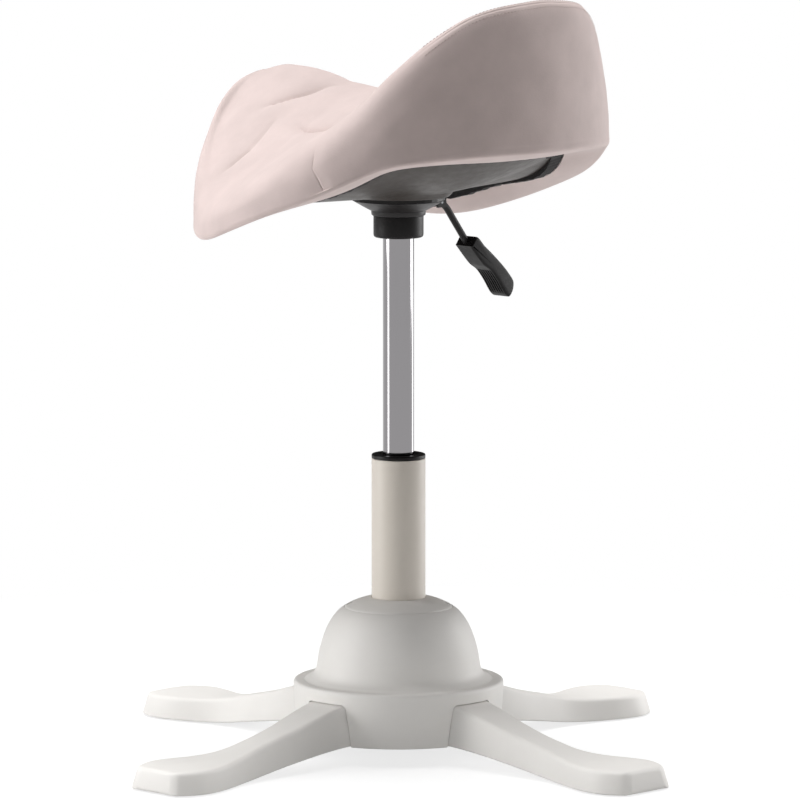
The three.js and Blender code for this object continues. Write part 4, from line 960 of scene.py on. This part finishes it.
class StoolHub(Operator):
    """Domed hub cover with its slots for the legs, and the cap round the column with its screws"""

    bl_idname = "stool.hub"
    bl_label = "Hub"

    def execute(self, context):
        b = context.scene.stool_base
        outer = hub_outline(b)
        inner = inset(outer[4:-1:2], b.wall)  # every second row above the foot's rounding, without the lip
        seat = np.array([
            [CAP_RADIUS + GAP, CAP_TOP - b.cap_slope - CAP_RIM_DEPTH], [CAP_SEAT_BORE, CAP_TOP - CAP_SEAT_TOP],
            [CAP_SEAT_BORE, CAP_TOP - CAP_SEAT_FLOOR],
        ])
        foot = np.array([[b.hub_foot_radius - b.wall, HUB_FLOOR]])
        hub = revolved("hub_cover", np.concatenate([outer[:-1], seat, inner[::-1], foot]), b.sides)
        carved(hub, [self.slot(turn, b) for turn in QUARTERS])
        dressed(hub, "base", "base_coat", ["base_cover"])
        self.cap(b)
        return {"FINISHED"}

    def slot(self, turn, b):
        """A leg's section with a gap all round, carried through the hub's wall and open below."""
        run = LEG_REACH - b.leg_root
        rings = []
        for share in SLOT_SHARES:
            section = leg_section(max(share, 0), b, b.slot_gap)
            section[section[:, 1] < HUB_FLOOR + SLOT_FOOT, 1] = HUB_FLOOR - SLOT_FOOT
            rings.append(np.column_stack([np.full(len(section), b.leg_root + share * run), section]))
        return surface("slot", turned_about(np.array(rings), turn))

    def cap(self, b):
        """The cap: a shallow cone, bowed as a half sine, with two recesses and a screw in each."""
        inner = TUBE_RADIUS + GAP
        t = np.linspace(0, 1, CAP_ROWS)[1:-1]
        fall = CAP_TOP - b.cap_slope * t + b.cap_crown * np.sin(np.pi * t)
        top = np.stack([inner + (CAP_RADIUS - inner) * t, fall], axis=1)
        rim = CAP_TOP - b.cap_slope
        ends = [
            [CAP_RADIUS - CAP_BEVEL, rim + CAP_EDGE], [CAP_RADIUS - CAP_EDGE, rim - CAP_LAND],
            [CAP_RADIUS, rim - b.cap_thickness],
        ]
        under = [
            [inner, CAP_TOP - b.cap_thickness], [inner, CAP_TOP - CAP_BEVEL],
            [inner + CAP_LAND, CAP_TOP - CAP_EDGE],
        ]
        cap = revolved("hub_cap", np.concatenate([top, ends, under]), b.sides)
        share = (b.screw_circle - inner) / (CAP_RADIUS - inner)
        height = CAP_TOP - b.cap_slope * share
        places = [on_circle(b.screw_circle, turn) for turn in SCREW_TURNS]
        size = b.screw_recess, height - HOLE_SINK, CAP_TOP, HOLE_SIDES
        carved(cap, [solid_disc("hole", *size, place) for place in places])
        dressed(cap, "base", "base_coat", ["dome_cap"])
        for i, place in enumerate(places):
            self.screw(i + 1, place, height, b)

    def screw(self, number, place, height, b):
        """A round head that domes as a parabola, with a cross pressed into it, on a plain shank."""
        head = turned_grid(np.array([[r, 0] for r in SCREW_RINGS]), SMALL_SIDES)
        x, y = head[..., 0], head[..., 1]
        narrow, wide = np.minimum(np.abs(x), np.abs(y)), np.maximum(np.abs(x), np.abs(y))
        cross = (1 - ease(narrow, *CROSS_WIDE)) * (1 - ease(wide, *CROSS_LONG))
        head[..., 2] = SCREW_CROWN * (1 - x**2 - y**2) - CROSS_DEPTH * cross - SCREW_SINK
        grid = np.concatenate([head, turned_grid(np.array(SCREW_SHANK), SMALL_SIDES)])
        grid = grid * [b.screw_head, b.screw_head, 1] + [*place, height]
        dressed(surface(f"screw_{number}", grid), "base", "dark_metal", [f"cap_screw_{number}"])


class StoolLegs(Operator):
    """Four tapering legs with spread feet, and the rubber pads under them"""

    bl_idname = "stool.legs"
    bl_label = "Legs"

    def execute(self, context):
        b = context.scene.stool_base
        rings = self.rings(b)
        pad_at = (low("foot_pad_left").x + high("foot_pad_left").x) / 2
        for name, turn in zip(LEG_NAMES, QUARTERS):
            leg = surface(f"foot_{name}", turned_about(rings, turn))
            centre = on_circle(pad_at, turn)
            pocket = solid_disc("pocket", b.pad_radius + GAP, -POCKET_OPEN, POCKET_DEPTH, SMALL_SIDES, centre)
            dressed(carved(leg, [pocket], sharp=50), "base", "base_coat", [f"leg_{name}"])
            pad = solid_disc(f"pad_{name}", b.pad_radius, 0, PAD_HEIGHT, SMALL_SIDES, centre, edge=PAD_ROUND)
            dressed(pad, "base", "rubber", [f"foot_pad_{name}"])
        return {"FINISHED"}

    def rings(self, b):
        """Sections along the leg: the tongue in the hub, then the table's stations, and an end that rounds in
        as a quarter circle."""
        tongue = leg_loop(TONGUE_HALF, TONGUE_HALF, TONGUE_FLOOR, TONGUE_TOP, TONGUE_ROUND, TONGUE_ROUND)
        rows = [np.column_stack([np.full(len(tongue), x), tongue]) for x in (TONGUE_END, b.leg_root)]
        for share in LEG_STATIONS:
            rows.append(self.ring(share, 0, b))
        for a in np.linspace(0, np.pi / 2, ARC_STEPS)[1:]:
            share = 1 - TIP_SHARE * (1 - math.sin(a))
            rows.append(self.ring(share, b.tip_round * (1 - math.cos(a)), b))
        return np.array(rows)

    def ring(self, share, shrink, b):
        """One section, leaning back towards the tip, drawn in on all sides by shrink."""
        section = leg_section(share, b)
        middle = np.array([0, (section[:, 1].min() + section[:, 1].max()) / 2])
        half = np.abs(section - middle).max(axis=0)
        section = middle + (section - middle) * (1 - shrink / half)
        top = float(column(LEG, 3, share)) * b.leg_root_height
        lean = max(0, share * 2 - 1) * b.tip_draft
        x = b.leg_root + share * (LEG_REACH - b.leg_root) - lean * section[:, 1] / top
        return np.column_stack([x, section])


# Column

class StoolColumn(Operator):
    """Stand tube, guide bush, chrome cylinder and the collar at its top"""

    bl_idname = "stool.column"
    bl_label = "Column"

    def execute(self, context):
        c = context.scene.stool_column
        self.stand(c)
        self.lift(c)
        return {"FINISHED"}

    def stand(self, c):
        """The stand tube, closed but for a hole below, and the bush in its mouth with a raised ring on its
        flange."""
        e = c.edge_round
        bore = TUBE_RADIUS - c.tube_wall
        floor, lip = low("stand_tube").z, low("stand_tube").z + TUBE_LIP
        tube = rounded([
            [TUBE_HOLE, floor, 0], [TUBE_RADIUS, floor, e], [TUBE_RADIUS, TUBE_TOP, e], [bore, TUBE_TOP, e / 2],
            [bore, lip, 0], [TUBE_HOLE, lip, 0],
        ])
        dressed(revolved("outer_tube", tube, c.sides), "base", "tube_coat", ["stand_tube"])
        inner = CYLINDER_RADIUS + GAP
        floor, seat, sunk = low("guide_bush").z, TUBE_TOP + GAP, BUSH_TOP - BUSH_SINK
        bush = rounded([
            [inner, floor, 0], [bore - GAP, floor, e], [bore - GAP, seat, 0], [TUBE_RADIUS, seat, FINE_ROUND],
            [TUBE_RADIUS, BUSH_TOP, BUSH_ROUND], [inner + BUSH_RING, BUSH_TOP, BUSH_RING_ROUND],
            [inner + BUSH_LIP, sunk, BUSH_RING_ROUND], [inner, sunk, SOFT_ROUND],
        ])
        dressed(revolved("bush", bush, c.sides), "base", "black_plastic", ["guide_bush"])

    def lift(self, c):
        """The gas cylinder, which narrows at its top, and the collar round it."""
        e = c.edge_round
        inner = CYLINDER_RADIUS + GAP
        floor, crown = low("gas_cylinder").z, CYLINDER_TOP - CROWN_WALL
        cylinder = rounded([
            [c.cylinder_bore, floor, 0], [CYLINDER_RADIUS, floor, e],
            [CYLINDER_RADIUS, CYLINDER_TOP - NECK_DROP, NECK_BEND], [NECK_RADIUS, CYLINDER_TOP, e],
            [PIN_HOLE, CYLINDER_TOP, 0], [PIN_HOLE, crown, 0], [c.cylinder_bore, crown, 0],
        ])
        dressed(revolved("chrome_cylinder", cylinder, c.sides), "seat", "chrome", ["gas_cylinder"])
        floor, top = low("column_collar").z, high("column_collar").z
        collar = rounded([
            [inner, floor, SOFT_ROUND], [COLLAR_RADIUS, floor, c.collar_round],
            [COLLAR_RADIUS, top, SOFT_ROUND], [inner, top, 0],
        ])
        dressed(revolved("collar", collar, c.sides), "seat", "black_plastic", ["column_collar"])


class StoolBowl(Operator):
    """Flared bowl between the collar and the seat, with a slot for the lever"""

    bl_idname = "stool.bowl"
    bl_label = "Mechanism bowl"

    def execute(self, context):
        c = context.scene.stool_column
        share = np.linspace(BOWL[0][0], 1, BOWL_ROWS)
        radius = c.bowl_neck + share * (BOWL_RADIUS - c.bowl_neck)
        flare = np.stack([radius, BOWL_FLOOR + smooth(BOWL, share) * (BOWL_TOP - BOWL_FLOOR)], axis=1)
        inner = inset(flare, c.bowl_wall)
        inner = inner[inner[:, 1] < BOWL_TOP - BOWL_BEVEL][1:]
        start = [
            [BOWL_HOLE, BOWL_FLOOR], [c.bowl_neck - BOWL_BEVEL, BOWL_FLOOR],
            [c.bowl_neck, BOWL_FLOOR + BOWL_BEVEL],
        ]
        rim = [[BOWL_RADIUS - 2 * c.bowl_wall, BOWL_TOP]]
        outline = np.concatenate([start, flare, rim, inner[::-1], [[BOWL_HOLE, BOWL_FLOOR + c.bowl_wall]]])
        bowl = revolved("bowl", outline, c.sides)
        carved(bowl, [self.slot(c)])
        dressed(bowl, "seat", "dark_plastic", ["mechanism_bowl"])
        return {"FINISHED"}

    def slot(self, c):
        """A low opening round the rod, carried out through the bowl's side."""
        half, floor = c.rod_radius + SLOT_SIDE, LEVER_HEIGHT - c.rod_radius - SLOT_DROP
        top = LEVER_HEIGHT + c.rod_radius + GAP
        corners = rounded([
            [-half, floor, SLOT_ROUND], [half, floor, SLOT_ROUND], [half, top, SLOT_ROUND / 2],
            [-half, top, SLOT_ROUND / 2],
        ])
        rows = [np.column_stack([np.full(len(corners), x), corners]) for x in (*SLOT_ROWS, -BOWL_RADIUS)]
        return surface("slot", np.array(rows))


def lever_line(c):
    """The rod's corners from its tail to its end in the handle, as distance out from the column and height,
    and the handle's direction."""
    stem, grip = (np.array([math.cos(droop), -math.sin(droop)]) for droop in (STEM_DROOP, HANDLE_DROOP))
    bend = np.array([c.bend_reach, LEVER_HEIGHT])
    neck = bend + stem * c.stem
    return np.array([LEVER_TAIL, LEVER_HEIGHT]), bend, neck, neck + grip * c.in_handle, grip


def swept(name, path, radius, sides):
    """A round rod along a path in the plane y = 0: each ring stands square to the path's direction."""
    step = np.gradient(path, axis=0)
    step /= np.linalg.norm(step, axis=1, keepdims=True)
    a = np.linspace(0, 2 * np.pi, sides, endpoint=False)[None, :]
    x = path[:, 0][:, None] - step[:, 1][:, None] * radius * np.cos(a)
    z = path[:, 1][:, None] + step[:, 0][:, None] * radius * np.cos(a)
    return surface(name, np.stack([x, radius * np.sin(a) + 0 * x, z], axis=-1))


class StoolLever(Operator):
    """Bent rod of the release lever and its ribbed handle"""

    bl_idname = "stool.lever"
    bl_label = "Release lever"

    def execute(self, context):
        c = context.scene.stool_column
        tail, bend, neck, end, grip = lever_line(c)
        path = rounded([[*tail, 0], [*bend, BEND_ROUND], [*neck, NECK_ROUND], [*end, 0]], steps=BEND_STEPS)
        rod = swept("release_rod", path * [-1, 1], c.rod_radius, ROD_SIDES)
        dressed(rod, "lever", "dark_metal", ["lever_rod"])
        self.handle(neck, grip, c)
        return {"FINISHED"}

    def handle(self, neck, grip, c):
        """The handle: its side outline carried across its width, drawn in at both edges by a quarter circle,
        with grooves along the lower half of its under face."""
        knots = np.array(HANDLE + [HANDLE[0]]) * [c.handle_length, c.handle_depth]
        run = np.concatenate([[0], np.cumsum(np.linalg.norm(np.diff(knots, axis=0), axis=1))])
        at = np.linspace(0, run[-1], HANDLE_POINTS, endpoint=False)
        outline = np.stack([smooth(np.stack([run, knots[:, i]], axis=1), at) for i in (0, 1)], axis=1)
        step = np.roll(outline, -1, axis=0) - np.roll(outline, 1, axis=0)
        step /= np.linalg.norm(step, axis=1, keepdims=True)
        inward = np.stack([-step[:, 1], step[:, 0]], axis=1)
        half, edge = c.handle_width / 2, c.handle_round
        arc = edge * (1 - np.cos(np.linspace(0, np.pi / 2, ARC_STEPS))) - half
        w = np.concatenate([arc, np.linspace(edge - half, 0, HANDLE_ROWS)[1:]])
        w = np.concatenate([w, -w[::-1][1:]])
        over = np.clip((np.abs(w) - half + edge) / edge, 0, 1)
        draw = edge * (1 - np.sqrt(1 - over**2))
        u = outline[:, 0] / c.handle_length
        ribbed = ease(u, *RIBS_START) * (1 - ease(u, *RIBS_END)) * (outline[:, 1] < 0)
        wave = np.cos(2 * np.pi * (w / c.rib_pitch - 0.5))
        groove = ease(wave, -RIB_EDGE, RIB_EDGE) * (np.abs(w) < RIBS * c.rib_pitch)
        depth = draw[:, None] + c.rib_depth * groove[:, None] * ribbed[None, :]
        flat = outline[None] + inward[None] * depth[..., None]
        out = neck[0] + flat[..., 0] * grip[0] + flat[..., 1] * -grip[1]
        height = neck[1] + flat[..., 0] * grip[1] + flat[..., 1] * grip[0]
        grid = np.stack([-out, w[:, None] + 0 * out, height], axis=-1)
        dressed(surface("release_handle", grid), "lever", "black_plastic", ["lever_handle"])


# Finishes

def finish(name, colour, roughness, metallic=0.0):
    """A new material with its shader's plain values set."""
    made = bpy.data.materials.new(PREFIX + name)
    made.use_nodes = True
    shader = made.node_tree.nodes["Principled BSDF"]
    shader.inputs["Base Color"].default_value = (*linear(colour), 1)
    shader.inputs["Roughness"].default_value = roughness
    shader.inputs["Metallic"].default_value = metallic
    return made, shader


def linear(colour):
    """A screen colour as the amounts of light that it stands for."""
    return [v / 12.92 if v <= 0.04045 else ((v + 0.055) / 1.055) ** 2.4 for v in colour]


def scaled(colour, factor):
    """A colour made darker or lighter by a factor."""
    return [min(1.0, v * factor) for v in colour]


def place_node(made, stretch=(1, 1, 1)):
    """Object coordinates, stretched."""
    nodes, links = made.node_tree.nodes, made.node_tree.links
    place = nodes.new("ShaderNodeTexCoord")
    mapping = nodes.new("ShaderNodeMapping")
    mapping.inputs["Scale"].default_value = stretch
    links.new(place.outputs["Object"], mapping.inputs["Vector"])
    return mapping.outputs["Vector"]


def noise(made, vector, scale, detail=3.0, rough=0.5):
    """Cloudy noise at a scale, with its finer layers' number and strength."""
    node = made.node_tree.nodes.new("ShaderNodeTexNoise")
    for name, number in (("Scale", scale), ("Detail", detail), ("Roughness", rough)):
        node.inputs[name].default_value = number
    made.node_tree.links.new(vector, node.inputs["Vector"])
    return node.outputs["Fac"]


def cells(made, vector, scale):
    """Rounded cells, as in leather grain or moulded plastic."""
    node = made.node_tree.nodes.new("ShaderNodeTexVoronoi")
    node.feature = "SMOOTH_F1"
    node.inputs["Scale"].default_value = scale
    made.node_tree.links.new(vector, node.inputs["Vector"])
    return node.outputs["Distance"]


def ranged(made, value, start, end, low_value=0, high_value=1):
    """A value between start and end, brought between two others."""
    node = made.node_tree.nodes.new("ShaderNodeMapRange")
    for name, number in (("From Min", start), ("From Max", end), ("To Min", low_value), ("To Max", high_value)):
        node.inputs[name].default_value = number
    made.node_tree.links.new(value, node.inputs["Value"])
    return node.outputs["Result"]


def tint(made, shader, value, colour, dark, light):
    """Base colour by a value, from a colour times dark to the same times light."""
    ramp = made.node_tree.nodes.new("ShaderNodeValToRGB")
    for element, factor in zip(ramp.color_ramp.elements, (dark, light)):
        element.color = (*linear(scaled(colour, factor)), 1)
    made.node_tree.links.new(value, ramp.inputs["Fac"])
    made.node_tree.links.new(ramp.outputs["Color"], shader.inputs["Base Color"])


def bump(made, shader, height, distance, strength=1.0, under=None):
    """Relief from a height, over another relief where one is given."""
    node = made.node_tree.nodes.new("ShaderNodeBump")
    node.inputs["Distance"].default_value = distance
    node.inputs["Strength"].default_value = strength
    made.node_tree.links.new(height, node.inputs["Height"])
    if under is not None:
        made.node_tree.links.new(under, node.inputs["Normal"])
    made.node_tree.links.new(node.outputs["Normal"], shader.inputs["Normal"])
    return node.outputs["Normal"]


def coated(name, colour, roughness, grain, height, spread, metallic=0.0, stretch=(1, 1, 1), shine=0.5):
    """A finish with a broad, faint change of colour, uneven gloss and a fine relief."""
    made, shader = finish(name, colour, roughness, metallic)
    vector = place_node(made, stretch)
    broad = ranged(made, noise(made, vector, scale=9, detail=4, rough=0.6), start=0.3, end=0.7)
    tint(made, shader, broad, colour, dark=1 - spread, light=1 + spread)
    gloss = noise(made, vector, scale=grain / GLOSS_COARSER, detail=4, rough=0.65)
    least = max(roughness - GLOSS_SPREAD, LEAST_ROUGHNESS)
    gloss = ranged(made, gloss, start=0.3, end=0.7, low_value=least, high_value=roughness + GLOSS_SPREAD)
    made.node_tree.links.new(gloss, shader.inputs["Roughness"])
    bump(made, shader, noise(made, vector, grain, detail=2), height)
    shader.inputs["Specular IOR Level"].default_value = shine


class StoolFinishes(Operator):
    """Materials of every piece, and those of the frame's nodes that stay"""

    bl_idname = "stool.finishes"
    bl_label = "Finishes"

    def execute(self, context):
        k = context.scene.stool_colours
        self.cover("fabric", k.fabric)
        self.thread("thread", k.thread)
        for name, values in COATS.items():
            coated(name, getattr(k, name), **values)
        self.woven("woven_strip", k.black_plastic)
        self.plywood("wood", k.wood)
        self.carry_over()
        return {"FINISHED"}

    def cover(self, name, colour):
        """Soft matt cover: a fine pebbled grain over slow waves, faint mottling and a little sheen."""
        made, shader = finish(name, colour, roughness=0.68)
        vector = place_node(made)
        mottle = noise(made, vector, scale=26, detail=5, rough=0.6)
        tint(made, shader, ranged(made, mottle, start=0.32, end=0.68), colour, dark=0.975, light=1.015)
        waves = bump(made, shader, noise(made, vector, scale=42), distance=0.0006, strength=0.5)
        pebbles = cells(made, vector, scale=900)
        pebbles = bump(made, shader, pebbles, distance=0.00012, strength=0.6, under=waves)
        grain = noise(made, vector, scale=3200, detail=2)
        bump(made, shader, grain, distance=0.00004, strength=0.6, under=pebbles)
        shader.inputs["Sheen Weight"].default_value = 0.08
        shader.inputs["Sheen Roughness"].default_value = 0.45
        shader.inputs["Specular IOR Level"].default_value = 0.25

    def thread(self, name, colour):
        """Twisted thread: fine cloudy bands."""
        made, shader = finish(name, colour, roughness=0.7)
        bands = noise(made, place_node(made), scale=2600, detail=2)
        tint(made, shader, ranged(made, bands, start=0.35, end=0.65), colour, dark=0.88, light=1.05)
        bump(made, shader, bands, distance=0.0001)

    def woven(self, name, colour):
        """Black edging, coarse and uneven, with paler high places."""
        made, shader = finish(name, colour, roughness=0.85)
        rib = noise(made, place_node(made), scale=520, rough=0.7)
        tint(made, shader, ranged(made, rib, start=0.35, end=0.7), colour, dark=0.75, light=2.0)
        bump(made, shader, rib, distance=0.0006)

    def plywood(self, name, colour):
        """Bare plywood: long wavy grain along the seat, with fine pores."""
        made, shader = finish(name, colour, roughness=0.7)
        vector = place_node(made, stretch=(1, 0.12, 1))
        wave = noise(made, vector, scale=60, detail=6, rough=0.65)
        tint(made, shader, ranged(made, wave, start=0.3, end=0.7), colour, dark=0.82, light=1.08)
        bump(made, shader, noise(made, vector, scale=700, rough=0.6), distance=0.00008)

    def carry_over(self):
        """Gives the frame's own nodes the finish of the slot that the record names for them."""
        slots = {part["node"]: part["material_slot"] for part in frame["record"]["subparts"]}
        for node, obj in frame["nodes"].items():
            obj.data.materials.clear()
            obj.data.materials.append(bpy.data.materials[PREFIX + slots[node]])


# Stage

def area_light(name, place, aim, width, height, power):
    """A lamp with a flat rectangular face at a place, turned towards a point."""
    lamp = bpy.data.lights.new(name, "AREA")
    lamp.shape, lamp.size, lamp.size_y, lamp.energy = "RECTANGLE", width, height, power
    obj = bpy.data.objects.new(name, lamp)
    obj.location = place
    obj.rotation_euler = (Vector(aim) - Vector(place)).to_track_quat("-Z", "Y").to_euler()
    obj.visible_camera = False
    bpy.context.scene.collection.objects.link(obj)
    return obj


def joined(tree, kind, *sources):
    """A new node of a kind, whose first inputs take the sources in order. Gives its first output."""
    node = tree.nodes.new(kind)
    for source, socket in zip(sources, node.inputs):
        tree.links.new(source, socket)
    return node.outputs[0]


def larger(tree, first, second):
    """The larger of two values."""
    result = joined(tree, "ShaderNodeMath", first, second)
    result.node.operation = "MAXIMUM"
    return result


class StoolStage(Operator):
    """Pale floor, soft lamps and the camera at the photograph's angle"""

    bl_idname = "stool.stage"
    bl_label = "Stage"

    def execute(self, context):
        scene = context.scene
        self.floor(scene.stool_colours.floor)
        self.world(scene)
        self.lamps()
        self.camera(scene)
        scene.view_settings.view_transform = "Standard"
        return {"FINISHED"}

    def floor(self, colour):
        """A wide flat disc. To the camera and in reflections it glows, and fades to white away from the
        column. Under the object it keeps a shadow."""
        outline = np.array([[FLOOR_RADIUS, 0], [FLOOR_RADIUS, -FLOOR_THICKNESS]])
        plane = surface("floor", turned_grid(outline, FLOOR_SIDES))
        made, shader = finish("floor", colour, roughness=0.9)
        shader.inputs["Specular IOR Level"].default_value = 0
        tree = made.node_tree
        plain = shader.outputs[0]
        path = tree.nodes.new("ShaderNodeLightPath").outputs
        seen = larger(tree, path["Is Camera Ray"], path["Is Glossy Ray"])
        seen = larger(tree, seen, path["Is Transmission Ray"])
        glow = joined(tree, "ShaderNodeEmission")
        glow.node.inputs["Strength"].default_value = FLOOR_GLOW
        near = joined(tree, "ShaderNodeAddShader", glow, plain)
        away = joined(tree, "ShaderNodeVectorMath", place_node(made))
        away.node.operation = "LENGTH"
        share = ranged(made, away.node.outputs["Value"], *FLOOR_FADE, FADE_START)
        fade = joined(tree, "ShaderNodeMixShader", share, near, joined(tree, "ShaderNodeEmission"))
        choose = joined(tree, "ShaderNodeMixShader", seen, plain, fade)
        tree.links.new(choose, tree.nodes["Material Output"].inputs["Surface"])
        plane.data.materials.append(made)

    def world(self, scene):
        """White to the camera, a faint white as a light and in reflections."""
        world = bpy.data.worlds.new("studio")
        scene.world = world
        world.use_nodes = True
        tree = world.node_tree
        plain, white = tree.nodes["Background"], tree.nodes.new("ShaderNodeBackground")
        for node in (plain, white):
            node.inputs["Color"].default_value = (1, 1, 1, 1)
        plain.inputs["Strength"].default_value = WORLD_LIGHT
        seen = tree.nodes.new("ShaderNodeLightPath").outputs["Is Camera Ray"]
        choose = joined(tree, "ShaderNodeMixShader", seen, plain.outputs[0], white.outputs[0])
        tree.links.new(choose, tree.nodes["World Output"].inputs["Surface"])

    def lamps(self):
        """A broad key from the camera's left, a rim from behind on its right, a soft one from above, a small
        one in front that lights the feet, and a strip on each side of the column."""
        right = Vector((math.cos(AZIMUTH), math.sin(AZIMUTH), 0))
        near = Vector((math.sin(AZIMUTH), -math.cos(AZIMUTH), 0))
        made = {}
        for name, (aside, ahead, up), aim, *face in LAMPS:
            place = right * aside + near * ahead + Vector((0, 0, up))
            made[name] = area_light(name, tuple(place), (0, 0, aim), *face)
        made["low"].visible_glossy = False
        made["low"].data.spread = LOW_SPREAD

    def camera(self, scene):
        """At the photograph's height and distance, aimed a little to the right of the column."""
        camera = bpy.data.cameras.new("camera")
        camera.sensor_width = SENSOR
        camera.lens = SENSOR * FOCAL_PIXELS / IMAGE_PIXELS
        camera.clip_end = FAR
        obj = bpy.data.objects.new("camera", camera)
        scene.collection.objects.link(obj)
        obj.location = (CAMERA_OUT * math.sin(AZIMUTH), -CAMERA_OUT * math.cos(AZIMUTH), CAMERA_HEIGHT)
        aside = math.atan(COLUMN_ASIDE / FOCAL_PIXELS)
        obj.rotation_euler = (math.pi / 2 - PITCH, 0, AZIMUTH - aside)
        scene.camera = obj


GROUPS = {
    "stool_seat": StoolSeatSizes, "stool_base": StoolBaseSizes, "stool_column": StoolColumnSizes,
    "stool_colours": StoolColours,
}
OPERATORS = [
    StoolFinishes, StoolCushion, StoolStitching, StoolShell, StoolHub, StoolLegs, StoolColumn, StoolBowl,
    StoolLever, StoolStage,
]


class StoolPanel(Panel):
    """Lists the stool's pieces and sizes"""

    bl_idname = "VIEW3D_PT_stool"
    bl_label = "Saddle stool"
    bl_space_type = "VIEW_3D"
    bl_region_type = "UI"
    bl_category = "Stool"

    def draw(self, context):
        for operator in OPERATORS:
            self.layout.operator(operator.bl_idname)
        for name, group in GROUPS.items():
            box = self.layout.box()
            for prop in group.__annotations__:
                box.prop(getattr(context.scene, name), prop)


def register():
    """Makes the sizes, the operators and the panel known."""
    for name, group in GROUPS.items():
        bpy.utils.register_class(group)
        setattr(bpy.types.Scene, name, PointerProperty(type=group))
    for operator in [*OPERATORS, StoolPanel]:
        bpy.utils.register_class(operator)


def unregister():
    """Takes away what register made known."""
    for operator in [StoolPanel, *reversed(OPERATORS)]:
        bpy.utils.unregister_class(operator)
    for name, group in GROUPS.items():
        delattr(bpy.types.Scene, name)
        bpy.utils.unregister_class(group)


def main():
    """Builds everything."""
    register()
    for operator in OPERATORS:
        family, name = operator.bl_idname.split(".")
        getattr(getattr(bpy.ops, family), name)()


if __name__ == "__main__":
    main()
